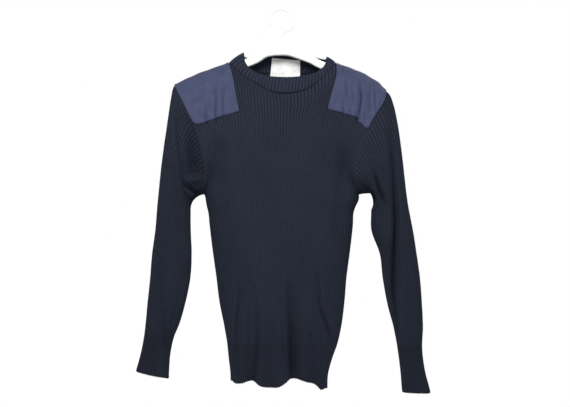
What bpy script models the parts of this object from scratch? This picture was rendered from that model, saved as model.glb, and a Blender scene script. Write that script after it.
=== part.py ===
"""Rib-knit pullover with woven shoulder patches, hanging on a white moulded hanger.

Sizes are millimetres until a mesh is made, then metres. +Z is up, the front of the
pullover faces -Y, and +X is the viewer's right. The origin is the point inside the
hook that bears on a rail. Each piece of cloth is one closed wall: a grid of points
in the middle of the cloth, moved out for the ribbed side and in for the plain side.
"""

import math

import bpy
import numpy as np

MM = 0.001

# ---- cloth ----
CLOTH = 2.0            # knitted wall under the ribs
RIB = 1.3              # how far a rib stands out
BAND_CLOTH = 2.8       # folded neckband
BAND_RIB = 1.1
PATCH_CLOTH = 1.2      # woven patch
PATCH_LIFT = 0.35      # patch above the ribs
SEAM_GAP = 0.3         # between two pieces at a seam
UNDERARM_GAP = 4.0     # more of that gap where the seam twists under the arm
UNDERARM_REACH = 6.0   # in columns of the sleeve
LABEL_CLOTH = 1.0

# ---- ribs, two columns of points to each ----
PANEL_RIBS = 50
SLEEVE_RIBS = 38
CUFF_RIBS = 24
NECK_RIBS = 66
NECK_LEFT_COLUMN = 26      # panel column that ends at the left neck point
NECK_RIGHT_COLUMN = 76     # and at the right one

# ---- body below the arms: height, left edge, right edge, half depth ----
BODY_SECTIONS = np.array([
    # z     left   right   half_depth
    (-377, -155.0, 152.0, 66.0),
    (-402, -149.0, 148.5, 67.0),
    (-438, -145.0, 146.0, 68.0),
    (-488, -139.0, 140.5, 68.0),
    (-550, -130.5, 132.5, 66.0),
    (-598, -124.5, 128.5, 63.0),
    (-648, -114.5, 122.0, 59.0),
    (-685, -108.5, 113.5, 55.0),
    (-710, -106.0, 104.5, 55.0),
    (-746, -102.0, 95.0, 57.0),
    (-780, -102.0, 93.5, 58.0),
])
UNDERARM_Z = -377.0
WAIST_SEAM_Z = -684.0
LOWER_ROWS_Z = (-684.0, -632.0, -560.0, -470.0)
UPPER_ROWS = (0.0, 0.06, 0.18, 0.36, 0.55, 0.72, 0.87, 0.94, 0.98, 1.0)
WAIST_ROWS = (0.0, 0.5, 1.0)
SIDE_SQUARENESS = 2.5      # of the body's section
BACK_DEPTH = 0.92          # back half of the section against the front half

# ---- body above the arms: share of the way up, left and right armhole edge ----
ARMHOLE = np.array([
    # up     left    right
    (0.000, -156.0, 152.0),
    (0.190, -151.0, 145.5),
    (0.320, -155.0, 151.0),
    (0.440, -161.0, 159.5),
    (0.580, -169.0, 171.0),
    (0.690, -182.0, 183.0),
    (0.800, -194.5, 197.0),
    (0.900, -206.0, 210.0),
    (1.000, -218.5, 214.5),
])
SHOULDER_LINE = np.array([
    # x      z
    (-218.5, -157.0),
    (-190.2, -142.0),
    (-154.8, -128.0),
    (-105.6, -110.0),
    (-40.0, -100.0),
    (40.0, -100.0),
    (111.7, -110.5),
    (144.7, -122.5),
    (172.0, -134.5),
    (199.3, -151.0),
    (214.5, -167.5),
])
NECK_LEFT = (-105.6, -110.0)
NECK_RIGHT = (111.7, -110.5)
NECK_SEAM_FRONT = np.array([
    # x      z
    (-105.6, -110.0),
    (-88.0, -127.0),
    (-67.0, -144.0),
    (-42.0, -158.5),
    (-20.0, -168.5),
    (5.0, -172.6),
    (29.0, -170.0),
    (52.0, -165.0),
    (70.0, -153.0),
    (90.0, -134.0),
    (111.7, -110.5),
])
NECK_SEAM_BACK = np.array([
    # x      z
    (-105.6, -110.0),
    (-75.0, -122.0),
    (-35.0, -131.5),
    (5.0, -134.0),
    (45.0, -131.5),
    (82.0, -122.0),
    (111.7, -110.5),
])
DRAPE_HEIGHT = 250.0       # the depth grows over this height below the shoulder
CHEST_HALF_DEPTH = 66.0
ARMHOLE_FULLNESS = 0.88    # depth at the armhole edge against the middle
ARMHOLE_CURVE = 6.0        # how soon the armhole opens above the underarm
ARMHOLE_REACH = 0.08       # share of the panel's width that opens as soon as its edge
ARMHOLE_PLAIN = 2          # columns without ribs along the armhole
FLAT_FROM = 0.6            # share of the way up where columns are spread evenly

# ---- hem: x against height, front and back ----
HEM_FRONT = np.array([
    (-107, -758), (-96, -765), (-80, -764), (-62, -757), (-45, -770), (-16, -775),
    (4, -771), (20, -753), (38, -753), (62, -762), (80, -779), (97, -775),
])
HEM_BACK = np.array([
    (-107, -757), (-80, -765), (-40, -761), (-10, -768), (30, -760), (62, -768), (97, -775),
])

# ---- folds of the body: a soft trough along a line, deeper inward ----
BODY_FOLDS = (
    # face, x_top, z_top, x_bottom, z_bottom, half_width, depth_top, depth_bottom
    (-1, 10.0, -545.0, 20.0, -790.0, 13.0, 0.0, 34.0),
    (-1, -68.0, -545.0, -60.0, -790.0, 12.0, 0.0, 19.0),
    (-1, -92.0, -585.0, -86.0, -700.0, 9.0, 3.0, 4.0),
    (-1, 80.0, -520.0, 83.0, -690.0, 13.0, 4.0, 7.0),
    (-1, -128.0, -270.0, -112.0, -470.0, 15.0, 6.0, 2.0),
    (-1, 124.0, -290.0, 112.0, -480.0, 15.0, 7.0, 2.0),
    (1, -34.0, -540.0, -28.0, -790.0, 14.0, 0.0, 26.0),
    (1, 52.0, -555.0, 48.0, -790.0, 13.0, 0.0, 21.0),
    (1, -84.0, -570.0, -78.0, -720.0, 12.0, 3.0, 5.0),
    (1, -120.0, -260.0, -106.0, -450.0, 16.0, 6.0, 2.0),
    (1, 116.0, -280.0, 104.0, -470.0, 16.0, 6.0, 2.0),
)
FOLD_FADE = 40.0           # length over which a fold starts and ends

# ---- sleeves: height, edge next to the body, outer edge, half depth ----
SLEEVE_SECTIONS = {
    -1: np.array([
        # z    inner   outer   half_depth
        (-410, -187.0, -252.5, 50.0),
        (-450, -187.0, -255.5, 48.0),
        (-500, -185.5, -262.0, 44.0),
        (-550, -188.0, -266.5, 40.0),
        (-600, -197.5, -272.0, 36.0),
        (-650, -212.5, -276.5, 32.0),
        (-666, -219.5, -278.5, 30.0),
        (-705, -228.5, -286.0, 27.0),
        (-745, -231.5, -297.0, 28.0),
    ]),
    1: np.array([
        (-410, 186.0, 260.5, 50.0),
        (-450, 187.0, 268.0, 48.0),
        (-500, 205.0, 275.5, 46.0),
        (-550, 210.5, 283.0, 43.0),
        (-600, 219.0, 287.5, 38.0),
        (-650, 232.0, 289.5, 34.0),
        (-690, 240.0, 287.5, 31.0),
        (-735, 246.0, 292.5, 30.0),
        (-782, 250.0, 304.5, 29.0),
    ]),
}
SLEEVE_TOP_RING_Z = -410.0
CUFF_SEAM_Z = {-1: -666.0, 1: -690.0}
CUFF_END_Z = {-1: (-753.5, -738.5), 1: (-781.0, -783.0)}   # inner side, outer side
CAP_ROWS = (0.0, 0.1, 0.27, 0.5, 0.76, 1.0)
TUBE_ROWS = (0.25, 0.5, 0.75, 1.0)
CUFF_ROWS = (0.0, 0.5, 1.0)
SLEEVE_SQUARENESS = 2.2
# Columns of the sleeve on each row interval of the armhole, underarm to shoulder.
ARMHOLE_COLUMNS = (5, 5, 5, 6, 5, 5, 3, 2, 2)
# How a sleeve leaves the armhole: share from underarm to shoulder, sideways, down.
SLEEVE_START = {
    -1: np.array([(0.0, 1.0, 0.0), (0.2, 0.9, 0.4), (0.5, 0.6, 0.8), (1.0, 0.42, 0.91)]),
    1: np.array([(0.0, 1.0, -0.15), (0.2, 0.9, 0.3), (0.5, 0.6, 0.8), (1.0, 0.85, 0.53)]),
}
# Length of that start against the distance to the first ring, over the same share.
SLEEVE_START_PULL = {
    -1: np.array([(0.0, 0.9), (0.15, 0.55), (1.0, 0.4)]),
    1: np.array([(0.0, 1.5), (0.15, 0.7), (1.0, 0.42)]),
}
SLEEVE_END_PULL = 0.62

SLEEVE_FOLDS = (
    # side, column_top, z_top, column_bottom, z_bottom, half_width, depth
    (-1, 29.0, -215.0, 15.0, -400.0, 2.4, 9.0),
    (-1, 8.0, -345.0, 12.0, -440.0, 2.2, 7.0),
    (-1, 17.0, -470.0, 20.0, -640.0, 3.0, 5.0),
    (-1, 62.0, -240.0, 60.0, -600.0, 3.0, 9.0),
    (1, 23.0, -370.0, 20.0, -665.0, 2.6, 15.0),
    (1, 12.0, -335.0, 15.0, -440.0, 2.2, 8.0),
    (1, 30.0, -225.0, 27.0, -360.0, 3.0, 6.0),
    (1, 60.0, -240.0, 62.0, -620.0, 3.0, 11.0),
)

# ---- neckband: the free edge ----
BAND_TOP_CENTRE_X = 8.5
BAND_TOP_HALF_WIDTH = 85.5
BAND_TOP_Z_SIDES = (-88.5, -97.0)      # left peak, right peak
BAND_TOP_Z_FRONT = -139.5
BAND_TOP_Z_BACK = -99.0
BAND_TOP_DEPTH_FRONT = 42.0
BAND_TOP_DEPTH_BACK = 28.0
BAND_SQUARENESS = 2.4
BAND_BULGE = 2.0
BAND_ROWS = (0.0, 0.5, 1.0)

# ---- shoulder patches: share of the way from armhole to neck, lower edge on the panel ----
PATCH_LOWER_EDGE = {
    -1: np.array([(0.0, 0.655), (0.08, 0.625), (0.2, 0.598), (0.5, 0.595), (1.0, 0.675)]),
    1: np.array([(0.0, 0.665), (0.07, 0.625), (0.18, 0.612), (0.6, 0.630), (1.0, 0.664)]),
}
PATCH_EDGE_INSET = 0.3     # of a column, from the seam

# ---- label ----
LABEL_CORNER = (-18.5, -100.5)     # upper left
LABEL_WIDTH = 58.0
LABEL_HEIGHT = 36.0
LABEL_TILT = math.radians(7.0)
LABEL_OFF_BAND = 2.3               # from the middle of the neckband

# ---- hanger: the arms lie under the shoulder line, the hub shows in the neck ----
ARM_DROP = 2.6         # top of an arm below the middle of the cloth over it
ARM_SECTIONS_LEFT = (
    # x, drop more, depth, half thickness
    (-208.0, 3.0, 6.5, 3.5),
    (-203.0, 0.6, 13.0, 5.0),
    (-190.2, 0.0, 15.5, 5.5),
    (-172.0, 0.0, 16.5, 6.0),
    (-154.8, 0.0, 17.0, 6.0),
    (-130.0, 0.0, 17.5, 6.0),
    (-105.6, 0.4, 17.5, 6.0),
)
ARM_SECTIONS_RIGHT = (
    (111.7, 0.4, 17.0, 6.0),
    (128.0, 0.0, 17.0, 6.0),
    (144.7, 0.0, 16.5, 6.0),
    (172.0, 0.0, 16.0, 6.0),
    (190.0, 0.0, 15.0, 5.5),
    (199.3, 0.6, 13.0, 5.0),
    (204.0, 3.0, 6.5, 3.5),
)
HUB_SECTIONS = (
    # x, top, bottom, half thickness
    (-84.0, -104.5, -122.0, 6.0),
    (-62.3, -93.5, -112.5, 6.5),
    (-50.0, -77.0, -104.5, 7.0),
    (-39.0, -61.5, -98.8, 7.0),
    (-35.0, -60.0, -97.4, 7.0),
    (-18.0, -60.0, -93.6, 7.0),
    (0.0, -60.0, -92.4, 7.0),
    (16.0, -60.0, -93.3, 7.0),
    (32.0, -60.0, -97.2, 7.0),
    (36.0, -62.0, -98.5, 7.0),
    (48.0, -79.0, -103.5, 7.0),
    (61.5, -93.3, -110.5, 6.5),
    (86.0, -105.5, -122.0, 6.0),
)
# Ring of a hanger section: share of the half thickness, share of the height down.
HANGER_RING = (
    (0.30, 0.00), (0.75, 0.07), (1.00, 0.22), (1.00, 0.80), (0.70, 1.00),
    (-0.70, 1.00), (-1.00, 0.80), (-1.00, 0.22), (-0.75, 0.07), (-0.30, 0.00),
)
HOOK_RADIUS = 3.0
HOOK_SIDES = 8
HOOK_BEND = 22.0           # radius of the hook inside
HOOK_FOOT_Z = -66.0
HOOK_NECK_Z = -56.0
HOOK_FROM = math.radians(-43.0)
HOOK_TO = math.radians(204.0)   # a step falls on the top
HOOK_STEPS = 14


# ---------------------------------------------------------------- small maths
def smooth(at, places, values):
    """A smooth curve through a table's points, read at the given places."""
    at = np.clip(np.asarray(at, float), places[0], places[-1])
    slopes = np.gradient(values, places)
    index = np.clip(np.searchsorted(places, at, side="right") - 1, 0, len(places) - 2)
    span = places[index + 1] - places[index]
    s = (at - places[index]) / span
    rise = s * s * (3 - 2 * s)
    return (
        values[index] * (1 - rise)
        + values[index + 1] * rise
        + slopes[index] * span * s * (1 - s) ** 2
        - slopes[index + 1] * span * s * s * (1 - s)
    )


def table(rows, at, column):
    """One named column of a table, read smoothly at a place in its first column."""
    order = np.argsort(rows[:, 0])
    return smooth(at, rows[order, 0], rows[order, column])


def straight(rows, at):
    return np.interp(at, rows[:, 0], rows[:, 1])


def ease(value):
    value = np.clip(value, 0.0, 1.0)
    return value * value * (3 - 2 * value)


def unit(vectors):
    length = np.linalg.norm(vectors, axis=-1, keepdims=True)
    return vectors / np.maximum(length, 1e-9)


def rounded(angle, squareness):
    """Across and along a rounded oval of half sizes 1, at an angle."""
    power = 2.0 / squareness
    cosine = np.cos(angle)
    sine = np.sin(angle)
    return (
        np.sign(cosine) * np.abs(cosine) ** power,
        np.sign(sine) * np.abs(sine) ** power,
    )


def even_angles(share, half_width, half_depth, squareness, turn):
    """Angles that divide the oval's edge evenly, from 0 to turn."""
    fine = np.linspace(0.0, turn, 721)
    across, along = rounded(fine, squareness)
    steps = np.hypot(np.diff(across * half_width), np.diff(along * half_depth))
    length = np.concatenate([[0.0], np.cumsum(steps)])
    return np.interp(np.asarray(share) * length[-1], length, fine)


# ---------------------------------------------------------------- body
PANEL_COLUMNS = 2 * PANEL_RIBS


def top_columns():
    """Where each panel column ends: x along the shoulders and across the neck."""
    column = np.arange(PANEL_COLUMNS + 1)
    marks = (0, NECK_LEFT_COLUMN, NECK_RIGHT_COLUMN, PANEL_COLUMNS)
    ends = (SHOULDER_LINE[0, 0], NECK_LEFT[0], NECK_RIGHT[0], SHOULDER_LINE[-1, 0])
    return np.interp(column, marks, ends)


def body_fold(face, x, z):
    """How far the folds push a point of this face inward."""
    inward = np.zeros_like(x)
    for side, x_top, z_top, x_bottom, z_bottom, half_width, depth_top, depth_bottom in BODY_FOLDS:
        if side != face:
            continue
        down = np.clip((z_top - z) / (z_top - z_bottom), 0.0, 1.0)
        middle = x_top + (x_bottom - x_top) * down
        depth = depth_top + (depth_bottom - depth_top) * down
        fades = ease((z_top - z) / FOLD_FADE + 0.5) * ease((z - z_bottom) / FOLD_FADE + 0.5)
        inward += depth * fades * np.exp(-(((x - middle) / half_width) ** 2))
    return inward


def section_columns():
    """Across and depth of each column on the body's half section, evenly spaced."""
    share = np.linspace(0.0, 1.0, PANEL_COLUMNS + 1)
    angle = even_angles(share, 140.0, CHEST_HALF_DEPTH, SIDE_SQUARENESS, math.pi)
    across, deep = rounded(angle, SIDE_SQUARENESS)
    return -across, np.abs(deep)


def lower_row(face, z):
    """A row of points across one face of the body at the heights z."""
    across, deep = section_columns()
    z = z + np.zeros_like(across)
    left = table(BODY_SECTIONS, z, 1)
    right = table(BODY_SECTIONS, z, 2)
    half_depth = table(BODY_SECTIONS, z, 3) * (BACK_DEPTH if face > 0 else 1.0)
    x = (left + right) / 2 + (right - left) / 2 * across
    y = half_depth * deep - body_fold(face, x, z) * deep
    return np.stack([x, face * y, z], axis=1)


def upper_row(face, up):
    """A row of points from armhole to armhole, this share of the way up."""
    across, deep = section_columns()
    top_x = top_columns()
    top_mid = (top_x[0] + top_x[-1]) / 2
    top_half = (top_x[-1] - top_x[0]) / 2
    evened = ease(up / FLAT_FROM)
    across = across * (1 - evened) + (top_x - top_mid) / top_half * evened
    left = table(ARMHOLE, up, 1)
    right = table(ARMHOLE, up, 2)
    x = (left + right) / 2 + (right - left) / 2 * across
    neck = NECK_SEAM_FRONT if face < 0 else NECK_SEAM_BACK
    top_z = straight(SHOULDER_LINE, top_x)
    in_neck = slice(NECK_LEFT_COLUMN, NECK_RIGHT_COLUMN + 1)
    top_z[in_neck] = table(neck, top_x[in_neck], 1)
    z = UNDERARM_Z + up * (top_z - UNDERARM_Z)
    below = np.clip((straight(SHOULDER_LINE, x) - z) / DRAPE_HEIGHT, 0.0, 1.0)
    drape = np.sqrt(1 - (1 - below) ** 2)
    share = np.linspace(0.0, 1.0, PANEL_COLUMNS + 1)
    from_edge = np.minimum(share, 1 - share)
    near = np.exp(-((from_edge / ARMHOLE_REACH) ** 2))
    soon = math.sqrt(1 - (1 - up) ** ARMHOLE_CURVE)
    edge = ARMHOLE_FULLNESS * (near * soon + (1 - near) * evened)
    fullness = edge + (1 - edge) * deep
    half_depth = CHEST_HALF_DEPTH * (BACK_DEPTH if face > 0 else 1.0)
    y = (half_depth * drape - body_fold(face, x, z) * drape) * fullness
    if up == 1.0:
        y[: NECK_LEFT_COLUMN + 1] = 0.0
        y[NECK_RIGHT_COLUMN:] = 0.0
    return np.stack([x, face * y, z], axis=1)


def panel_grid(face):
    rows = [lower_row(face, z) for z in LOWER_ROWS_Z]
    rows += [upper_row(face, up) for up in UPPER_ROWS]
    return np.array(rows)


def waist_grid(face):
    """Rows from the hem up to the waistband seam."""
    hem_row = HEM_FRONT if face < 0 else HEM_BACK
    hem_x = lower_row(face, np.full(PANEL_COLUMNS + 1, -770.0))[:, 0]
    hem_z = table(hem_row, hem_x, 1)
    rows = [lower_row(face, hem_z + (WAIST_SEAM_Z - hem_z) * up) for up in WAIST_ROWS]
    return np.array(rows)


# ---------------------------------------------------------------- sleeves
SLEEVE_COLUMNS = 2 * SLEEVE_RIBS


def sleeve_ring(side, z, share):
    """Points round a sleeve at the heights z, from the body side over the front."""
    sections = SLEEVE_SECTIONS[side]
    inner = table(sections, z, 1)
    outer = table(sections, z, 2)
    half_depth = table(sections, z, 3)
    angle = even_angles(share, 38.0, 42.0, SLEEVE_SQUARENESS, 2 * math.pi)
    across, deep = rounded(angle, SLEEVE_SQUARENESS)
    x = (inner + outer) / 2 + (inner - outer) / 2 * across
    return np.stack([x, -half_depth * deep, z + np.zeros_like(x)], axis=1)


def armhole_loop(side, front, back):
    """The armhole's points with the extra columns of the sleeve between the rows."""
    column = 0 if side < 0 else -1
    first = len(LOWER_ROWS_Z)
    edge_front = front[first:, column]
    edge_back = back[first:, column]
    points = []
    for low, high, count in zip(edge_front[:-1], edge_front[1:], ARMHOLE_COLUMNS):
        points += [low + (high - low) * step / count for step in range(count)]
    lows = edge_back[::-1][:-1]
    highs = edge_back[::-1][1:]
    for low, high, count in zip(lows, highs, ARMHOLE_COLUMNS[::-1]):
        points += [low + (high - low) * step / count for step in range(count)]
    return np.array(points)


def sleeve_grid(side, front, back):
    """Rows of a sleeve from the armhole to the cuff seam, each a closed ring."""
    share = np.arange(SLEEVE_COLUMNS) / SLEEVE_COLUMNS
    start = armhole_loop(side, front, back)
    ring = sleeve_ring(side, np.full(SLEEVE_COLUMNS, SLEEVE_TOP_RING_Z), share)
    below = sleeve_ring(side, np.full(SLEEVE_COLUMNS, SLEEVE_TOP_RING_Z - 30.0), share)
    distance = np.linalg.norm(ring - start, axis=1, keepdims=True)
    upward = 1 - np.abs(1 - 2 * share)
    sideways = table(SLEEVE_START[side], upward, 1)
    down = table(SLEEVE_START[side], upward, 2)
    leave = unit(np.stack([side * sideways, np.zeros_like(down), -down], axis=1))
    leave = leave * distance * straight(SLEEVE_START_PULL[side], upward)[:, None]
    arrive = unit(below - ring) * distance * SLEEVE_END_PULL
    rows = []
    for s in CAP_ROWS:
        rows.append(
            start * (1 + 2 * s) * (1 - s) ** 2
            + ring * s * s * (3 - 2 * s)
            + leave * s * (1 - s) ** 2
            - arrive * s * s * (1 - s)
        )
    for s in TUBE_ROWS:
        z = SLEEVE_TOP_RING_Z + (CUFF_SEAM_Z[side] - SLEEVE_TOP_RING_Z) * s
        rows.append(sleeve_ring(side, np.full(SLEEVE_COLUMNS, z), share))
    grid = np.array(rows)
    normals = grid_normals(grid, True, ring_centres(grid))
    return grid - normals * sleeve_fold(side, grid)[..., None]


def sleeve_fold(side, grid):
    """How far the folds push each point of a sleeve's grid inward."""
    column = np.arange(grid.shape[1])[None, :]
    z = grid[..., 2]
    inward = np.zeros(grid.shape[:2])
    for which, c_top, z_top, c_bottom, z_bottom, half_width, depth in SLEEVE_FOLDS:
        if which != side:
            continue
        down = np.clip((z_top - z) / (z_top - z_bottom), 0.0, 1.0)
        off = (column - (c_top + (c_bottom - c_top) * down)) / half_width
        fades = ease((z_top - z) / FOLD_FADE + 0.5) * ease((z - z_bottom) / FOLD_FADE + 0.5)
        inward += depth * fades * np.exp(-(off ** 2))
    inward[0] = 0.0
    return inward


def cuff_grid(side, sleeve):
    """Rows of a cuff from its seam, taken on the sleeve's last ring, to its free end."""
    count = 2 * CUFF_RIBS
    share = np.arange(count) / count
    seam = between(sleeve[-1], share * SLEEVE_COLUMNS, True)
    inner_z, outer_z = CUFF_END_Z[side]
    tilt = (1 + np.cos(2 * math.pi * share)) / 2
    end_z = outer_z + (inner_z - outer_z) * tilt
    rows = []
    for s in CUFF_ROWS:
        ring = sleeve_ring(side, CUFF_SEAM_Z[side] + (end_z - CUFF_SEAM_Z[side]) * s, share)
        rows.append(seam if s == 0.0 else ring)
    return np.array(rows)


# ---------------------------------------------------------------- neckband
def neck_loop(values_front, values_back):
    """The neckline's values: over the front from the left, then back along the back."""
    span = slice(NECK_LEFT_COLUMN, NECK_RIGHT_COLUMN + 1)
    over = values_front[span]
    behind = values_back[span][::-1]
    return np.concatenate([over[:-1], behind[:-1]])


def neckband_grid(front, back):
    """Rows of the neckband, from the neckline seam up to the free edge."""
    count = 2 * NECK_RIBS
    share = np.arange(count) / count
    loop = neck_loop(front[-1], back[-1])
    base = between(loop, share * len(loop), True)
    in_front = share < 0.5
    along = np.where(in_front, share * 2, 2 - share * 2)
    angle = even_angles(along, BAND_TOP_HALF_WIDTH, 40.0, BAND_SQUARENESS, math.pi)
    across, deep = rounded(angle, BAND_SQUARENESS)
    sides = BAND_TOP_Z_SIDES[0] + (BAND_TOP_Z_SIDES[1] - BAND_TOP_Z_SIDES[0]) * along
    middle = np.where(in_front, BAND_TOP_Z_FRONT, BAND_TOP_Z_BACK)
    depth = np.where(in_front, -BAND_TOP_DEPTH_FRONT, BAND_TOP_DEPTH_BACK)
    top = np.stack([
        BAND_TOP_CENTRE_X - BAND_TOP_HALF_WIDTH * across,
        depth * np.abs(deep),
        sides + (middle - sides) * np.abs(deep),
    ], axis=1)
    centre = np.array([BAND_TOP_CENTRE_X, 0.0, 0.0])
    outward = (base + top) / 2 - centre
    outward[:, 2] = 0.0
    rows = []
    for s in BAND_ROWS:
        swell = BAND_BULGE * 4 * s * (1 - s)
        rows.append(base + (top - base) * s + unit(outward) * swell)
    return np.array(rows)


# ---------------------------------------------------------------- grids to walls
def between(line, place, closed):
    """Points on a line of points, at places counted in points."""
    index = np.floor(place).astype(int)
    part = (place - index)[:, None]
    if closed:
        after = line[(index + 1) % len(line)]
        return line[index % len(line)] * (1 - part) + after * part
    index = np.minimum(index, len(line) - 2)
    part = (place - index)[:, None]
    return line[index] * (1 - part) + line[index + 1] * part


def ring_centres(grid):
    return np.repeat(grid.mean(axis=1, keepdims=True), grid.shape[1], axis=1)


def body_centres(grid):
    centres = grid.copy()
    centres[..., 0] *= 0.8
    centres[..., 1] = 0.0
    return centres


def grid_normals(grid, closed, centres):
    """Unit directions out of the cloth at each point of a grid."""
    rows, columns = grid.shape[:2]
    following = np.roll(grid, -1, axis=1) if closed else grid[:, 1:]
    here = grid if closed else grid[:, :-1]
    diagonal = following[1:] - here[:-1]
    other = here[1:] - following[:-1]
    faces = np.cross(diagonal, other)
    total = np.zeros_like(grid)
    if closed:
        around = faces + np.roll(faces, 1, axis=1)
        total[:-1] += around
        total[1:] += around
    else:
        total[:-1, :-1] += faces
        total[:-1, 1:] += faces
        total[1:, :-1] += faces
        total[1:, 1:] += faces
    normals = unit(total)
    agree = (normals * (grid - centres)).sum()
    return normals if agree > 0 else -normals


def share_normals(*lines):
    """Gives the same point of several pieces one direction, their mean."""
    mean = unit(sum(line for line in lines))
    for line in lines:
        line[...] = mean


def level(line):
    """Lays a seam's directions in the level plane of the seam."""
    line[:, 2] = 0.0
    line[...] = unit(line)


def draw_back(points, inside, normals, closed):
    """How each point of an edge moves into its own piece, half the seam gap."""
    if closed:
        along = unit(np.roll(points, -1, axis=0) - np.roll(points, 1, axis=0))
    else:
        along = unit(np.gradient(points, axis=0))
    into = inside - points
    into = into - (into * along).sum(axis=1, keepdims=True) * along
    out = unit(normals)
    into = into - (into * out).sum(axis=1, keepdims=True) * out
    return unit(into) * SEAM_GAP / 2


def turning_columns(normals, closed, most_turn, most_step):
    """Columns that the plain inner side keeps: more where the cloth turns."""
    following = np.roll(normals, -1, axis=1) if closed else normals[:, 1:]
    here = normals if closed else normals[:, :-1]
    dot = np.clip((unit(here) * unit(following)).sum(axis=2), -1.0, 1.0)
    turn = np.arccos(dot).max(axis=0)
    count = normals.shape[1]
    last = count if closed else count - 1
    kept = [0]
    turned = 0.0
    for column in range(1, last):
        turned += turn[column - 1]
        if turned + turn[column] > most_turn or column - kept[-1] >= most_step:
            kept.append(column)
            turned = 0.0
    return kept if closed else kept + [last]


def zip_rows(fine, coarse, places, closed, count):
    """Triangles between a row with every column and one with only the kept ones."""
    faces = []
    last = len(coarse) if closed else len(coarse) - 1
    for m in range(last):
        start = places[m]
        after = (m + 1) % len(coarse)
        end = places[after] if after else count
        half = (start + end + 1) // 2
        for column in range(start, end):
            apex = coarse[m] if column < half else coarse[after]
            faces.append((fine[column % len(fine)], fine[(column + 1) % len(fine)], apex))
        faces.append((coarse[m], fine[half % len(fine)], coarse[after]))
    return faces


def strip(first, second, closed):
    """Two triangles to each step between two rows with the same columns."""
    faces = []
    last = len(first) if closed else len(first) - 1
    for column in range(last):
        after = (column + 1) % len(first)
        faces.append((first[column], first[after], second[after]))
        faces.append((first[column], second[after], second[column]))
    return faces


def flip(faces):
    return [face[::-1] for face in faces]


def wall(grid, normals, thickness, ribs, closed, fine_start, fine_end, turn, step):
    """A closed wall on a grid: ribbed outside, plain inside. Returns points and faces."""
    rows, columns = grid.shape[:2]
    outer = grid + normals * (thickness / 2 + ribs)[..., None]
    inner = grid - normals * (thickness / 2)
    kept = turning_columns(normals[1:], closed, turn, step)
    points = [outer.reshape(-1, 3)]
    outer_rows = np.arange(rows * columns).reshape(rows, columns).tolist()
    used = rows * columns
    inner_rows = []
    for row in range(rows):
        fine = (row == 0 and fine_start) or (row == rows - 1 and fine_end)
        choose = list(range(columns)) if fine else kept
        points.append(inner[row, choose])
        inner_rows.append(list(range(used, used + len(choose))))
        used += len(choose)
    faces = []
    for row in range(rows - 1):
        faces += strip(outer_rows[row], outer_rows[row + 1], closed)
        low, high = inner_rows[row], inner_rows[row + 1]
        if len(low) == len(high):
            faces += flip(strip(low, high, closed))
        elif len(low) > len(high):
            faces += flip(zip_rows(low, high, kept, closed, columns))
        else:
            faces += zip_rows(high, low, kept, closed, columns)
    for row, turned in ((0, True), (rows - 1, False)):
        if len(inner_rows[row]) == columns:
            rim = strip(outer_rows[row], inner_rows[row], closed)
        else:
            rim = zip_rows(outer_rows[row], inner_rows[row], kept, closed, columns)
        faces += flip(rim) if turned else rim
    if not closed:
        for column, turned in ((0, False), (-1, True)):
            out_line = [line[column] for line in outer_rows]
            in_line = [line[column] for line in inner_rows]
            rim = strip(out_line, in_line, False)
            faces += flip(rim) if turned else rim
    return np.concatenate(points), faces


def signed_volume(points, faces):
    corners = points[np.array(faces)]
    return np.einsum("ij,ij->i", corners[:, 0], np.cross(corners[:, 1], corners[:, 2])).sum()


# ---------------------------------------------------------------- objects
def make_material(name, colour, roughness, metallic=0.0):
    material = bpy.data.materials.new(name)
    material.use_nodes = True
    shader = material.node_tree.nodes["Principled BSDF"]
    shader.inputs["Base Color"].default_value = (*colour, 1.0)
    shader.inputs["Roughness"].default_value = roughness
    shader.inputs["Metallic"].default_value = metallic
    return material


def make_object(name, points, faces, material):
    """A mesh object with its faces turned outward."""
    if signed_volume(points, faces) < 0:
        faces = flip(faces)
    mesh = bpy.data.meshes.new(name)
    mesh.from_pydata((points * MM).tolist(), [], [tuple(face) for face in faces])
    mesh.materials.append(material)
    item = bpy.data.objects.new(name, mesh)
    bpy.context.scene.collection.objects.link(item)
    return item


def ribs_for(shape, height):
    """Rib height at each point of a grid: a valley at even columns, a rib at odd ones."""
    row = np.where(np.arange(shape[1]) % 2 == 1, height, 0.0)
    return np.repeat(row[None, :], shape[0], axis=0)


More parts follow.
